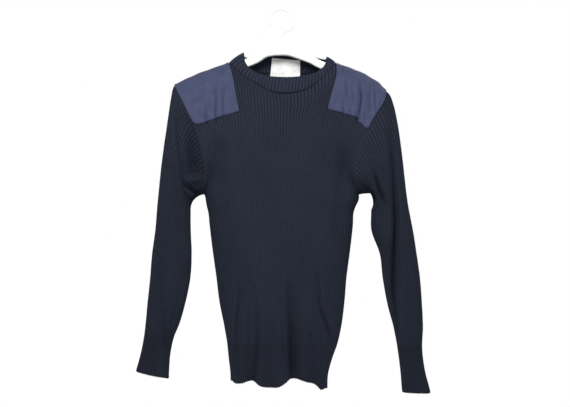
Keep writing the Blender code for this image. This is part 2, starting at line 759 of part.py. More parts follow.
# ---------------------------------------------------------------- the garment
class Garment:
    """The grids of all knitted pieces, with shared seam directions and drawn-back seams."""

    def __init__(self):
        self.grid = {}
        self.normal = {}
        for face, name in ((-1, "front"), (1, "back")):
            self.grid[name] = panel_grid(face)
            self.grid["waist_" + name] = waist_grid(face)
        front, back = self.grid["front"], self.grid["back"]
        for side, name in ((-1, "left"), (1, "right")):
            self.grid["sleeve_" + name] = sleeve_grid(side, front, back)
            self.grid["cuff_" + name] = cuff_grid(side, self.grid["sleeve_" + name])
        self.grid["neckband"] = neckband_grid(front, back)
        for name, grid in self.grid.items():
            closed = self.is_tube(name)
            centres = ring_centres(grid) if closed else body_centres(grid)
            self.normal[name] = grid_normals(grid, closed, centres)
        self.join_normals()
        self.open_seams()

    @staticmethod
    def is_tube(name):
        return name.startswith(("sleeve", "cuff", "neck"))

    def join_normals(self):
        n = self.normal
        first = len(LOWER_ROWS_Z)
        shoulders = list(range(NECK_LEFT_COLUMN + 1)) + list(
            range(NECK_RIGHT_COLUMN, PANEL_COLUMNS + 1)
        )
        mean = unit(n["front"][-1, shoulders] + n["back"][-1, shoulders])
        mean[:, 1] = 0.0
        n["front"][-1, shoulders] = unit(mean)
        n["back"][-1, shoulders] = unit(mean)
        for column in (0, -1):
            share_normals(n["front"][: first + 1, column], n["back"][: first + 1, column])
            share_normals(n["waist_front"][:, column], n["waist_back"][:, column])
        for face in ("front", "back"):
            share_normals(n[face][0], n["waist_" + face][-1])
            level(n[face][0])
            level(n["waist_" + face][-1])
        for name, column in (("left", 0), ("right", -1)):
            self.join_armhole(n["sleeve_" + name][0], column)
            level(n["sleeve_" + name][-1])
            count = n["cuff_" + name].shape[1]
            place = np.arange(count) / count * SLEEVE_COLUMNS
            n["cuff_" + name][0] = between(n["sleeve_" + name][-1], place, True)
        loop = neck_loop(n["front"][-1], n["back"][-1])
        count = n["neckband"].shape[1]
        n["neckband"][0] = between(loop, np.arange(count) / count * len(loop), True)

    def join_armhole(self, ring, column):
        """One direction for panel and sleeve at each row, straight between rows."""
        first = len(LOWER_ROWS_Z)
        front = self.normal["front"][first:, column]
        back = self.normal["back"][first:, column]
        marks = np.concatenate([[0], np.cumsum(ARMHOLE_COLUMNS)])
        back_marks = (SLEEVE_COLUMNS - marks) % SLEEVE_COLUMNS
        front[:] = unit(front + ring[marks])
        back[:] = unit(back + ring[back_marks])
        for end in (0, -1):
            share_normals(front[end], back[end])
        last = SLEEVE_COLUMNS // 2
        for low, high in zip(range(len(marks) - 1), range(1, len(marks))):
            for step in range(marks[low], marks[high] + 1):
                part = (step - marks[low]) / (marks[high] - marks[low])
                ring[step] = front[low] * (1 - part) + front[high] * part
                mirrored = (SLEEVE_COLUMNS - step) % SLEEVE_COLUMNS
                ring[mirrored] = back[low] * (1 - part) + back[high] * part
        ring[0] = front[0]
        ring[last] = front[-1]

    def open_seams(self):
        """Draws each seam edge back by half the gap; the corner points move twice."""
        moves = {name: np.zeros_like(grid) for name, grid in self.grid.items()}
        for name, grid in self.grid.items():
            closed = self.is_tube(name)
            n = self.normal[name]
            if name in ("front", "back"):
                ends = (0, -1)
            elif name.startswith("sleeve"):
                ends = (0, -1)
            elif name.startswith("waist"):
                ends = (-1,)
            else:
                ends = (0,)
            for end in ends:
                inside = grid[1 if end == 0 else -2]
                move = draw_back(grid[end], inside, n[end], closed)
                if name.startswith("sleeve") and end == 0:
                    column = np.arange(SLEEVE_COLUMNS)
                    off = np.minimum(column, SLEEVE_COLUMNS - column) / UNDERARM_REACH
                    move *= 1 + UNDERARM_GAP * np.exp(-(off ** 2))[:, None]
                moves[name][end] += move
            if closed:
                continue
            for column in (0, -1):
                inside = grid[:, 1 if column == 0 else -2]
                moves[name][:, column] += draw_back(
                    grid[:, column], inside, n[:, column], False
                )
        for name, move in moves.items():
            self.grid[name] = self.grid[name] + move


def make_knit(garment, name, piece, thickness, rib, material, turn, step, fine=(False, False)):
    grid = garment.grid[piece]
    ribs = ribs_for(grid.shape[:2], rib)
    if piece in ("front", "back"):
        first = len(LOWER_ROWS_Z)
        ribs[first:, : ARMHOLE_PLAIN + 1] = 0.0
        ribs[first:, -ARMHOLE_PLAIN - 1 :] = 0.0
    points, faces = wall(
        grid, garment.normal[piece], thickness, ribs, garment.is_tube(piece),
        fine[0], fine[1], turn, step,
    )
    return make_object(name, points, faces, material)


def make_patch(garment, name, side, material):
    """A woven patch on the ribs, from its lower edge in front to the one behind."""
    first = len(LOWER_ROWS_Z)
    edge = PATCH_LOWER_EDGE[side]
    if side < 0:
        columns = [PATCH_EDGE_INSET] + list(range(1, NECK_LEFT_COLUMN, 2))
        columns += [NECK_LEFT_COLUMN - PATCH_EDGE_INSET]
        share = np.array(columns) / NECK_LEFT_COLUMN
    else:
        columns = [NECK_RIGHT_COLUMN + PATCH_EDGE_INSET]
        columns += list(range(NECK_RIGHT_COLUMN + 1, PANEL_COLUMNS, 2))
        columns += [PANEL_COLUMNS - PATCH_EDGE_INSET]
        share = (PANEL_COLUMNS - np.array(columns)) / (PANEL_COLUMNS - NECK_RIGHT_COLUMN)
    columns = np.array(columns, float)
    lowest = np.interp(share, edge[:, 0], edge[:, 1])
    ups = [up for up in UPPER_ROWS if up > edge[:, 1].max()]
    places = [np.interp(lowest, UPPER_ROWS, np.arange(len(UPPER_ROWS)))]
    places += [np.full(len(columns), float(UPPER_ROWS.index(up))) for up in ups]
    lines, directions = [], []
    for face in ("front", "back"):
        for place in places if face == "front" else places[-2::-1]:
            row = first + place
            lines.append(on_grid(garment.grid[face], row, columns))
            directions.append(unit(on_grid(garment.normal[face], row, columns)))
    grid = np.array(lines)
    normals = np.array(directions)
    grid[len(places) - 1, :, 1] = 0.0
    grid = grid + normals * (CLOTH / 2 + RIB + PATCH_LIFT + PATCH_CLOTH / 2)
    ribs = np.zeros(grid.shape[:2])
    points, faces = wall(grid, normals, PATCH_CLOTH, ribs, False, True, True, 9.0, 1)
    return make_object(name, points, faces, material)


def on_grid(grid, row, column):
    """Points of a grid at places between its rows and columns."""
    low = np.minimum(np.floor(row).astype(int), grid.shape[0] - 2)
    near = np.minimum(np.floor(column).astype(int), grid.shape[1] - 2)
    up = (row - low)[:, None]
    on = (column - near)[:, None]
    lower = grid[low, near] * (1 - on) + grid[low, near + 1] * on
    upper = grid[low + 1, near] * (1 - on) + grid[low + 1, near + 1] * on
    return lower * (1 - up) + upper * up


def make_label(garment, material):
    """A bare tab that lies against the inside of the neckband at the back."""
    band = garment.grid["neckband"]
    behind = band[:, NECK_RIBS:]
    across = np.linspace(0.0, LABEL_WIDTH, 7)
    down = np.linspace(LABEL_HEIGHT, 0.0, 3)
    rows = []
    for drop in down:
        x = LABEL_CORNER[0] + across * math.cos(LABEL_TILT) - drop * math.sin(LABEL_TILT) * 0.5
        z = LABEL_CORNER[1] - drop - across * math.sin(LABEL_TILT)
        order = np.argsort(behind[0, :, 0])
        low_y = np.interp(x, behind[0, order, 0], behind[0, order, 1])
        low_z = np.interp(x, behind[0, order, 0], behind[0, order, 2])
        order = np.argsort(behind[-1, :, 0])
        top_y = np.interp(x, behind[-1, order, 0], behind[-1, order, 1])
        top_z = np.interp(x, behind[-1, order, 0], behind[-1, order, 2])
        y = top_y + (low_y - top_y) * (top_z - z) / (top_z - low_z) - LABEL_OFF_BAND
        rows.append(np.stack([x, y, z], axis=1))
    grid = np.array(rows)
    normals = np.zeros_like(grid)
    normals[..., 1] = -1.0
    ribs = np.zeros(grid.shape[:2])
    points, faces = wall(grid, normals, LABEL_CLOTH, ribs, False, True, True, 9.0, 1)
    return make_object("neck_label", points, faces, material)


def closed_tube(rings):
    """Points and faces of a tube through rings of points, closed at both ends."""
    count = len(rings[0])
    points = np.concatenate(rings)
    faces = []
    for row in range(len(rings) - 1):
        first = list(range(row * count, (row + 1) * count))
        second = list(range((row + 1) * count, (row + 2) * count))
        faces += strip(first, second, True)
    for column in range(1, count - 1):
        faces.append((0, column + 1, column))
        last = (len(rings) - 1) * count
        faces.append((last, last + column, last + column + 1))
    return points, faces


def hook_line():
    """The hook's middle line: a stem, then round over the rail."""
    bend = HOOK_BEND + HOOK_RADIUS
    centre_z = -HOOK_BEND
    angles = np.linspace(HOOK_FROM, HOOK_TO, HOOK_STEPS)
    arc = [(bend * math.cos(a), centre_z + bend * math.sin(a)) for a in angles]
    stem = [(0.0, HOOK_FOOT_Z), (0.0, HOOK_NECK_Z), (2.5, HOOK_NECK_Z + 7.5)]
    lead = [(9.5, HOOK_NECK_Z + 13.0)]
    return np.array([(x, 0.0, z) for x, z in stem + lead + arc])


def arm_section(x, drop, depth, half):
    """One section of an arm, under the shoulder line."""
    top = straight(SHOULDER_LINE, x) - ARM_DROP - drop
    return x, top, top - depth, half


def make_hanger(material):
    """The hanger's arms and hub, with the hook fused into the hub's top."""
    rings = []
    left = [arm_section(*section) for section in ARM_SECTIONS_LEFT]
    right = [arm_section(*section) for section in ARM_SECTIONS_RIGHT]
    for x, top, bottom, half in [*left, *HUB_SECTIONS, *right]:
        ring = [(x, half * out, top + (bottom - top) * down) for out, down in HANGER_RING]
        rings.append(np.array(ring))
    points, faces = closed_tube(rings)
    body = make_object("hanger", points, faces, material)
    line = hook_line()
    along = unit(np.gradient(line, axis=0))
    side = np.array([0.0, 1.0, 0.0])
    rings = []
    for point, direction in zip(line, along):
        up = np.cross(direction, side)
        turn = np.arange(HOOK_SIDES) * 2 * math.pi / HOOK_SIDES
        rings.append(
            point
            + HOOK_RADIUS * (np.cos(turn)[:, None] * side + np.sin(turn)[:, None] * up)
        )
    points, faces = closed_tube(rings)
    hook = make_object("hook_form", points, faces, material)
    hook.hide_render = True
    hook.hide_viewport = True
    fuse = body.modifiers.new("hook", "BOOLEAN")
    fuse.operation = "UNION"
    fuse.solver = "EXACT"
    fuse.object = hook
    return body


def main():
    for item in list(bpy.data.objects):
        bpy.data.objects.remove(item)
    garment = Garment()
    knit = (0.0176, 0.0214, 0.0346)
    woven = (0.062, 0.072, 0.142)
    fine_turn, fine_step = 0.5, 9
    for name, piece in (("front_panel", "front"), ("back_panel", "back")):
        cloth = make_material(name + "_knit", knit, 0.9)
        make_knit(garment, name, piece, CLOTH, RIB, cloth, fine_turn, fine_step, (False, True))
    for face in ("front", "back"):
        cloth = make_material("waistband_knit_" + face, knit, 0.92)
        make_knit(
            garment, "waistband_" + face, "waist_" + face, CLOTH, RIB, cloth, fine_turn, fine_step
        )
    for side in ("left", "right"):
        cloth = make_material("sleeve_knit_" + side, knit, 0.9)
        make_knit(
            garment, "sleeve_" + side, "sleeve_" + side, CLOTH, RIB, cloth, 0.8, 7, (True, False)
        )
        cloth = make_material("cuff_knit_" + side, knit, 0.92)
        make_knit(garment, "cuff_" + side, "cuff_" + side, CLOTH, RIB, cloth, 0.6, 6)
    band = make_material("neckband_knit", knit, 0.92)
    make_knit(
        garment, "neckband", "neckband", BAND_CLOTH, BAND_RIB, band, 0.3, 6, (True, False)
    )
    for side, name in ((-1, "left"), (1, "right")):
        cloth = make_material("patch_cloth_" + name, woven, 0.8)
        make_patch(garment, "shoulder_patch_" + name, side, cloth)
    make_label(garment, make_material("label_cloth", (0.78, 0.78, 0.77), 0.7))
    make_hanger(make_material("hanger_plastic", (0.86, 0.86, 0.85), 0.35))


main()
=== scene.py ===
"""The dressed look of a rib-knit pullover with woven shoulder patches on a white hanger.

Lengths are millimetres until a mesh is made, then metres. +Z is up, the front faces -Y
and +X is the viewer's right. Each piece of cloth is one closed wall on a grid of points
in the middle of the cloth: its columns follow the ribs and its rows follow the courses.
"""

import logging
import math
from dataclasses import dataclass, field
from enum import Enum
from functools import partialmethod

import bmesh
import bpy
import numpy as np
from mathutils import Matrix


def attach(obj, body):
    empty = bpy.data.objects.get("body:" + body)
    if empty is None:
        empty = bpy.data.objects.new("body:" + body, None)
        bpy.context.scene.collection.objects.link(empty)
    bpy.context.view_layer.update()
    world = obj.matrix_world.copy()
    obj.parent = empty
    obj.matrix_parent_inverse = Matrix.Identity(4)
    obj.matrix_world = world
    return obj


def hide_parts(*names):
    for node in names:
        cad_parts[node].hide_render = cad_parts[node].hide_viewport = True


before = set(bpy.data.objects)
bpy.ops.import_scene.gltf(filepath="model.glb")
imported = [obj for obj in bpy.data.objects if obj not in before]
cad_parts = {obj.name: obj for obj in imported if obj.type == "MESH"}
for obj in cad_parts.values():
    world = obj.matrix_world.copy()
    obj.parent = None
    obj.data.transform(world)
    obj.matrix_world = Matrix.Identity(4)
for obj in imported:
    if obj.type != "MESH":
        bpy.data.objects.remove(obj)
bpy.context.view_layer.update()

LOG = logging.getLogger("pullover")
MM = 0.001
SEED = 11
BODY = "root"
SEAM_GAP = 0.3              # between two pieces at a seam
RIB_STEPS = (0.0, 0.12, 0.30, 0.50, 0.70, 0.88)    # columns of one rib, its crest at a half
COURSE = 2.9                # height of one row of stitches
LIP_PLACE, LIP_WIDTH = 1.8, 0.75    # the raised lip beside a fold, in widths of the fold
TURN = 2 * math.pi

Array = np.ndarray
Arrays = tuple[Array, Array]
Item, Material, Tree = bpy.types.Object, bpy.types.Material, bpy.types.NodeTree
Pair = tuple[float, float]
Colour = tuple[float, float, float]
Table = tuple[tuple[float, ...], ...]


class Face(Enum):
    """Which half of the body, by the sign of its depth."""

    FRONT = -1
    BACK = 1


class Side(Enum):
    """Which side of the garment as the viewer sees it, by the sign of X."""

    LEFT = -1
    RIGHT = 1


# ---- small maths
def ease(value: Array) -> Array:
    """A smooth step from 0 to 1."""
    value = np.clip(value, 0.0, 1.0)
    return value * value * (3 - 2 * value)


def unit(vectors: Array) -> Array:
    """The same directions, one long."""
    length = np.linalg.norm(vectors, axis=-1, keepdims=True)
    return vectors / np.maximum(length, 1e-9)


def read(rows: Table, at: Array, column: int = 1) -> Array:
    """Reads one column of a table along a smooth curve.

    Args:
        rows: The table, its first column being the place.
        at: Where to read it.
        column: Which column to read.

    Returns:
        The values at those places.
    """
    held = np.array(sorted(rows))
    places, values = held[:, 0], held[:, column]
    at = np.clip(np.asarray(at, float), places[0], places[-1])
    slopes = np.gradient(values, places)
    low = np.clip(np.searchsorted(places, at, side="right") - 1, 0, len(places) - 2)
    span = places[low + 1] - places[low]
    s = (at - places[low]) / span
    rise = s * s * (3 - 2 * s)
    return (
        values[low] * (1 - rise)
        + values[low + 1] * rise
        + slopes[low] * span * s * (1 - s) ** 2
        - slopes[low + 1] * span * s * s * (1 - s)
    )


def straight(rows: Table, at: Array, column: int = 1) -> Array:
    """Reads one column of a table along straight lines."""
    held = np.array(rows)
    return np.interp(at, held[:, 0], held[:, column])


def oval(angle: Array, squareness: float) -> Arrays:
    """Across and along a rounded oval of half sizes 1, at an angle."""
    sides = np.cos(angle), np.sin(angle)
    return tuple(np.sign(side) * np.abs(side) ** (2.0 / squareness) for side in sides)


def even_oval(
    share: Array, half_width: float, half_depth: float, squareness: float, turn: float
) -> Arrays:
    """Points that divide an oval's edge evenly.

    Args:
        share: How far along the edge each point lies, from 0 to 1.
        half_width: Half width of the oval that is divided.
        half_depth: Its half depth.
        squareness: 2 for an ellipse, more for a fuller corner.
        turn: The angle at share 1.

    Returns:
        Across and along, both for half sizes of 1.
    """
    fine = np.linspace(0.0, turn, 1441)
    across, along = oval(fine, squareness)
    steps = np.hypot(np.diff(across * half_width), np.diff(along * half_depth))
    length = np.concatenate([[0.0], np.cumsum(steps)])
    return oval(np.interp(np.asarray(share) * length[-1], length, fine), squareness)


def ripple(x: Array, z: Array, phase: float) -> Array:
    """A slow unevenness from -1 to 1, the same on each run."""
    return (
        np.sin(x / 31.0 + z / 83.0 + phase)
        + np.sin(x / 53.0 - z / 47.0 + 2.1 * phase)
        + np.sin(z / 29.0 + x / 97.0 + 0.7 * phase)
    ) / 3


def furrow(off: Array, lip: float) -> Array:
    """How deep a fold of depth 1 is, this many of its widths from its middle."""
    return np.exp(-(off**2)) - lip * np.exp(-(((np.abs(off) - LIP_PLACE) / LIP_WIDTH) ** 2))


@dataclass(frozen=True)
class Fold:
    """A soft trough down a piece, or a ridge where its depth is negative.

    across and depth hold a value for each height in down, from the top. across is in
    millimetres on the body and a share of the way round on a sleeve, as width is.
    """

    across: tuple[float, ...]
    down: tuple[float, ...]
    width: float
    depth: tuple[float, ...]
    lip: float = 0.18
    fade: float = 34.0

    def inward(self, place: Array, height: Array) -> Array:
        """How far this fold pushes points in.

        Args:
            place: Where the points are across the piece.
            height: Their height.

        Returns:
            The push at each point.
        """
        down = -np.array(self.down)
        middle = np.interp(-height, down, self.across)
        depth = np.interp(-height, down, self.depth)
        start = ease((self.down[0] - height) / self.fade + 0.5)
        end = ease((height - self.down[-1]) / self.fade + 0.5)
        return depth * start * end * furrow((place - middle) / self.width, self.lip)


@dataclass(frozen=True)
class Crease:
    """A trough along a line as seen from the front, or a ridge where its depth is negative.

    line holds x, z and depth from the top down. widths are those of its left and right
    flank, so that one side of it can stand steep.
    """

    line: Table
    widths: Pair
    face: Face = Face.FRONT
    lip: float = 0.2

    def inward(self, x: Array, z: Array) -> Array:
        """How far this crease pushes points in.

        Args:
            x: Where the points are seen, across.
            z: Their height.

        Returns:
            The push at each point.
        """
        x, z = np.broadcast_arrays(x, z)
        nearest = np.full(x.shape, np.inf)
        depth, on_right = np.zeros(x.shape), np.zeros(x.shape, bool)
        for (ax, az, deep), (bx, bz, deeper) in zip(self.line[:-1], self.line[1:]):
            dx, dz = bx - ax, bz - az
            t = np.clip(((x - ax) * dx + (z - az) * dz) / (dx * dx + dz * dz), 0.0, 1.0)
            off_x, off_z = x - ax - t * dx, z - az - t * dz
            off = np.hypot(off_x, off_z)
            closer = off < nearest
            nearest = np.where(closer, off, nearest)
            depth = np.where(closer, deep + (deeper - deep) * t, depth)
            on_right = np.where(closer, dx * off_z - dz * off_x > 0, on_right)
        width = np.where(on_right, self.widths[1], self.widths[0])
        return depth * furrow(nearest / width, self.lip)


# ---- surfaces and walls
@dataclass
class Surface:
    """A grid of points in the middle of a piece of cloth.

    rib is the rib count at each column and course the stitch rows at each row.
    """

    points: Array
    rib: Array
    course: Array
    closed: bool
    normals: Array = field(default_factory=lambda: np.zeros(0))

    def face_out(self, centres: Array | None = None) -> None:
        """Works out the directions out of the cloth.

        Args:
            centres: What they point away from, or the middle of each row unless given.
        """
        grid = self.points
        if centres is None:
            centres = grid.mean(axis=1, keepdims=True)
        if self.closed:
            around = np.roll(grid, -1, axis=1) - np.roll(grid, 1, axis=1)
        else:
            around = np.gradient(grid, axis=1)
        normals = unit(np.cross(around, np.gradient(grid, axis=0)))
        agree = (normals * (grid - centres)).sum()
        self.normals = normals if agree > 0 else -normals

    def at(self, row: Array, column: Array) -> Arrays:
        """Reads the surface between its rows and columns.

        Args:
            row: Places up the rows.
            column: Places across the columns.

        Returns:
            The points there and the directions out of the cloth.
        """
        low = np.clip(np.floor(row).astype(int), 0, self.points.shape[0] - 2)
        near = np.clip(np.floor(column).astype(int), 0, self.points.shape[1] - 2)
        up, on = (row - low)[..., None], (column - near)[..., None]
        found = []
        for grid in (self.points, self.normals):
            below, above = (
                grid[line, near] * (1 - on) + grid[line, near + 1] * on
                for line in (low, low + 1)
            )
            found.append(below * (1 - up) + above * up)
        return found[0], unit(found[1])

    def draw_in(self, edge: int, gap: Array | float = SEAM_GAP, is_side: bool = False) -> None:
        """Moves an edge half a gap into the piece, in the plane of the cloth.

        Args:
            edge: 0 for the first row or column, -1 for the last.
            gap: The gap, which may differ along the edge.
            is_side: Whether the edge is a column.
        """
        points, normals = self.points, self.normals
        if is_side:
            points, normals = points.swapaxes(0, 1), normals.swapaxes(0, 1)
        normal = unit(normals[edge])
        into = points[1 if edge == 0 else -2] - points[edge]
        into = into - (into * normal).sum(axis=-1, keepdims=True) * normal
        points[edge] += unit(into) * (np.asarray(gap) / 2 + np.zeros(len(into)))[:, None]

    def seam(self, rows: slice | int, columns: slice | int, lift: float) -> Arrays:
        """A line this far above the middle of the cloth, and the directions out of it."""
        out = self.normals[rows, columns].copy()
        return self.points[rows, columns] + out * lift, out

    def sink(self, rows: tuple[int, ...], depth: float, columns: slice = slice(None)) -> None:
        """Presses the rows next to a seam into its groove.

        Args:
            rows: The rows, the deepest of them first.
            depth: How deep that one goes.
            columns: The columns that are pressed.
        """
        for k, row in enumerate(rows):
            share = (1 - k / len(rows)) ** 1.5
            self.points[row, columns] -= self.normals[row, columns] * depth * share


def rib_places(count: int, closed: bool) -> Array:
    """The rib count at each column of a piece with this many ribs."""
    places = (np.arange(count)[:, None] + np.array(RIB_STEPS)[None, :]).ravel()
    return places if closed else np.append(places, float(count))


def course_counts(line: Array) -> Array:
    """The stitch rows up to each point of a line up the cloth."""
    steps = np.linalg.norm(np.diff(line, axis=0), axis=1)
    return np.concatenate([[0.0], np.cumsum(steps)]) / COURSE


def zip_lines(
    first: Array, second: Array, at_first: Array, at_second: Array
) -> list[tuple[int, int, int]]:
    """Triangles between two lines of points with different counts.

    Args:
        first: Point numbers of one line.
        second: Point numbers of the other line.
        at_first: How far along each of the first points lies.
        at_second: The same for the second.

    Returns:
        The triangles, wound one way.
    """
    faces, i, j = [], 0, 0
    while i < len(first) - 1 or j < len(second) - 1:
        ahead = at_first[i + 1] if i < len(first) - 1 else math.inf
        other = at_second[j + 1] if j < len(second) - 1 else math.inf
        if ahead <= other:
            faces.append((first[i], first[i + 1], second[j]))
            i += 1
        else:
            faces.append((first[i], second[j + 1], second[j]))
            j += 1
    return faces


def quads(numbers: Array, closed: bool) -> list[list[int]]:
    """Four-sided faces on a grid of point numbers.

    Args:
        numbers: The grid.
        closed: Whether its last column joins its first.

    Returns:
        Point numbers of each face.
    """
    here = np.concatenate([numbers, numbers[:, :1]], axis=1) if closed else numbers
    corners = [here[:-1, :-1], here[:-1, 1:], here[1:, 1:], here[1:, :-1]]
    return np.stack(corners, axis=-1).reshape(-1, 4).tolist()


def put(name: str, data: bpy.types.ID) -> Item:
    """Adds an object to the scene.

    Args:
        name: Its name.
        data: Its mesh, light or camera.

    Returns:
        The object.
    """
    item = bpy.data.objects.new(name, data)
    bpy.context.scene.collection.objects.link(item)
    return item


def closed_piece(name: str, points: Array, faces: list) -> Item:
    """Makes a closed piece, its faces pointing outwards.

    Args:
        name: The piece's name.
        points: Its points in millimetres.
        faces: Point numbers of each face.

    Returns:
        The piece.
    """
    mesh = bpy.data.meshes.new(name)
    mesh.from_pydata((points * MM).tolist(), [], faces)
    shape = bmesh.new()
    shape.from_mesh(mesh)
    bmesh.ops.recalc_face_normals(shape, faces=shape.faces[:])
    shape.to_mesh(mesh)
    shape.free()
    return put(name, mesh)


def discard(item: Item) -> None:
    """Removes an object that has done its work, with its mesh.

    Args:
        item: The object.
    """
    spare = item.data
    bpy.data.objects.remove(item)
    bpy.data.meshes.remove(spare)


@dataclass
class Wall:
    """A closed wall of cloth on a surface: a fine outside and a coarser inside.

    raised and raised_inside are shares of the full rib height at each grid point, and
    round_ends says how far the first and last edges bulge. The inside keeps one in so
    many rows and columns, as its steps say.
    """

    name: str
    surface: Surface
    thickness: float
    raised: Array
    finish: "Finish"
    rib_height: float = 0.0
    raised_inside: float = 0.35
    round_ends: Pair = (0.0, 0.0)
    steps: tuple[int, int] = (2, 3)
    unevenness: float = 0.25
    fullness: float = 1.25
    sharp: float = math.radians(62)

    def build(self) -> Item:
        """Makes the wall as a mesh and raises its ribs.

        Returns:
            The finished piece, a plain mesh.
        """
        s, closed = self.surface, self.surface.closed
        rows, columns = s.points.shape[:2]
        last = columns if closed else columns - 1
        keep_rows = sorted({*range(0, rows, self.steps[0]), rows - 1})
        keep_columns = sorted({*range(0, last, self.steps[1])} | ({last} - {columns}))
        kept = np.ix_(keep_rows, keep_columns)
        rib = np.broadcast_to(s.rib[None, :], (rows, columns))
        course = np.broadcast_to(s.course[:, None], (rows, columns))
        half = self.thickness / 2
        layers = [
            (s.points + s.normals * half, s.normals, rib, course, self.raised),
            (s.points[kept] - s.normals[kept] * half, -s.normals[kept], rib[kept] + 0.5,
             course[kept], self.raised[kept] * self.raised_inside),
        ]
        outer = np.arange(rows * columns).reshape(rows, columns)
        inner = np.arange(rib[kept].size).reshape(rib[kept].shape) + outer.size
        used = outer.size + inner.size
        faces = quads(outer, closed) + quads(inner, closed)
        along = np.append(s.rib, s.rib[-1] * 2 - s.rib[-2]) if closed else s.rib
        mids = []
        for end, beside in ((0, 1), (-1, -2)):
            bulge = unit(s.points[end] - s.points[beside]) * self.round_ends[end]
            layers.append((s.points[end] + bulge, s.normals[end], s.rib, course[end],
                           self.raised[end] * 0.5))
            mid = np.arange(columns) + used
            used += columns
            faces += quads(np.stack([outer[end], mid]), closed)
            fine, coarse, at_coarse = mid, inner[end], s.rib[keep_columns]
            if closed:
                fine, coarse = np.append(fine, fine[0]), np.append(coarse, coarse[0])
                at_coarse = np.append(at_coarse, along[-1])
            faces += zip_lines(fine, coarse, along, at_coarse)
            mids.append(mid)
        if not closed:
            at_side = np.concatenate([[-0.5], keep_rows, [rows - 0.5]])
            for column in (0, -1):
                side = np.concatenate([[mids[0][column]], inner[:, column], [mids[1][column]]])
                faces += zip_lines(outer[:, column], side, np.arange(float(rows)), at_side)
        points, outs, ribs, courses, raises = (
            np.concatenate([np.reshape(layer[k], (-1, 3) if k < 2 else -1) for layer in layers])
            for k in range(5)
        )
        item = closed_piece(self.name, points, faces)
        self.chart(item.data, ribs, courses)
        for name, kind, field_name, values in (
            ("rib", "FLOAT", "value", ribs),
            ("raised", "FLOAT", "value", raises),
            ("out", "FLOAT_VECTOR", "vector", unit(outs).ravel()),
        ):
            made = item.data.attributes.new(name, kind, "POINT")
            made.data.foreach_set(field_name, values)
        grow(item, raised_ribs(self.finish.material(self.name)), {
            "Rib Height": self.rib_height * MM,
            "Rib Fullness": self.fullness,
            "Unevenness": self.unevenness * MM,
        })
        item.data.shade_smooth()
        item.data.set_sharp_from_angle(angle=self.sharp)
        return item

    def chart(self, mesh: bpy.types.Mesh, ribs: Array, courses: Array) -> None:
        """Lays the map of ribs and stitch rows on the mesh, unbroken round a tube.

        Args:
            mesh: The wall's mesh.
            ribs: The rib count at each point.
            courses: The stitch rows at each point.
        """
        corner = np.zeros(len(mesh.loops), np.int32)
        mesh.loops.foreach_get("vertex_index", corner)
        start = np.zeros(len(mesh.polygons), np.int32)
        mesh.polygons.foreach_get("loop_start", start)
        u = ribs[corner]
        if self.surface.closed:
            turn = round(float(self.surface.rib[-1] + 1 - RIB_STEPS[-1]))
            highest = np.maximum.reduceat(u, start)
            size = np.diff(np.append(start, len(u)))
            u = np.where(np.repeat(highest, size) - u > turn / 2, u + turn, u)
        weave = mesh.uv_layers.new(name="weave")
        weave.data.foreach_set("uv", np.stack([u, courses[corner]], axis=1).ravel())


# ---- node trees
class Wire:
    """A node socket that adds Math nodes when it is used in a Python expression."""

    def __init__(self, graph: "Graph", socket: bpy.types.NodeSocket) -> None:
        """Holds a socket and the tree that it is in."""
        self.graph, self.socket = graph, socket

    def maths(self, operation: str, *values: "Wire | float") -> "Wire":
        """Adds one Math node on this value and the others."""
        return self.graph.maths(operation, self, *values)

    __add__ = __radd__ = partialmethod(maths, "ADD")
    __mul__ = __rmul__ = partialmethod(maths, "MULTIPLY")
    __sub__ = partialmethod(maths, "SUBTRACT")
    __truediv__ = partialmethod(maths, "DIVIDE")
    __abs__ = partialmethod(maths, "ABSOLUTE")
    __gt__ = partialmethod(maths, "GREATER_THAN")
    part = partialmethod(maths, "FRACT")
    whole = partialmethod(maths, "FLOOR")
    sine = partialmethod(maths, "SINE")
    least = partialmethod(maths, "MINIMUM")

    def __rsub__(self, other: float) -> "Wire":
        """The other less this."""
        return self.graph.maths("SUBTRACT", other, self)

    def ramp(self, low: float, high: float) -> "Wire":
        """A smooth step from 0 at low to 1 at high."""
        return self.graph.wire(
            "ShaderNodeMapRange", {"interpolation_type": "SMOOTHSTEP"},
            {"Value": self, "From Min": low, "From Max": high},
        )

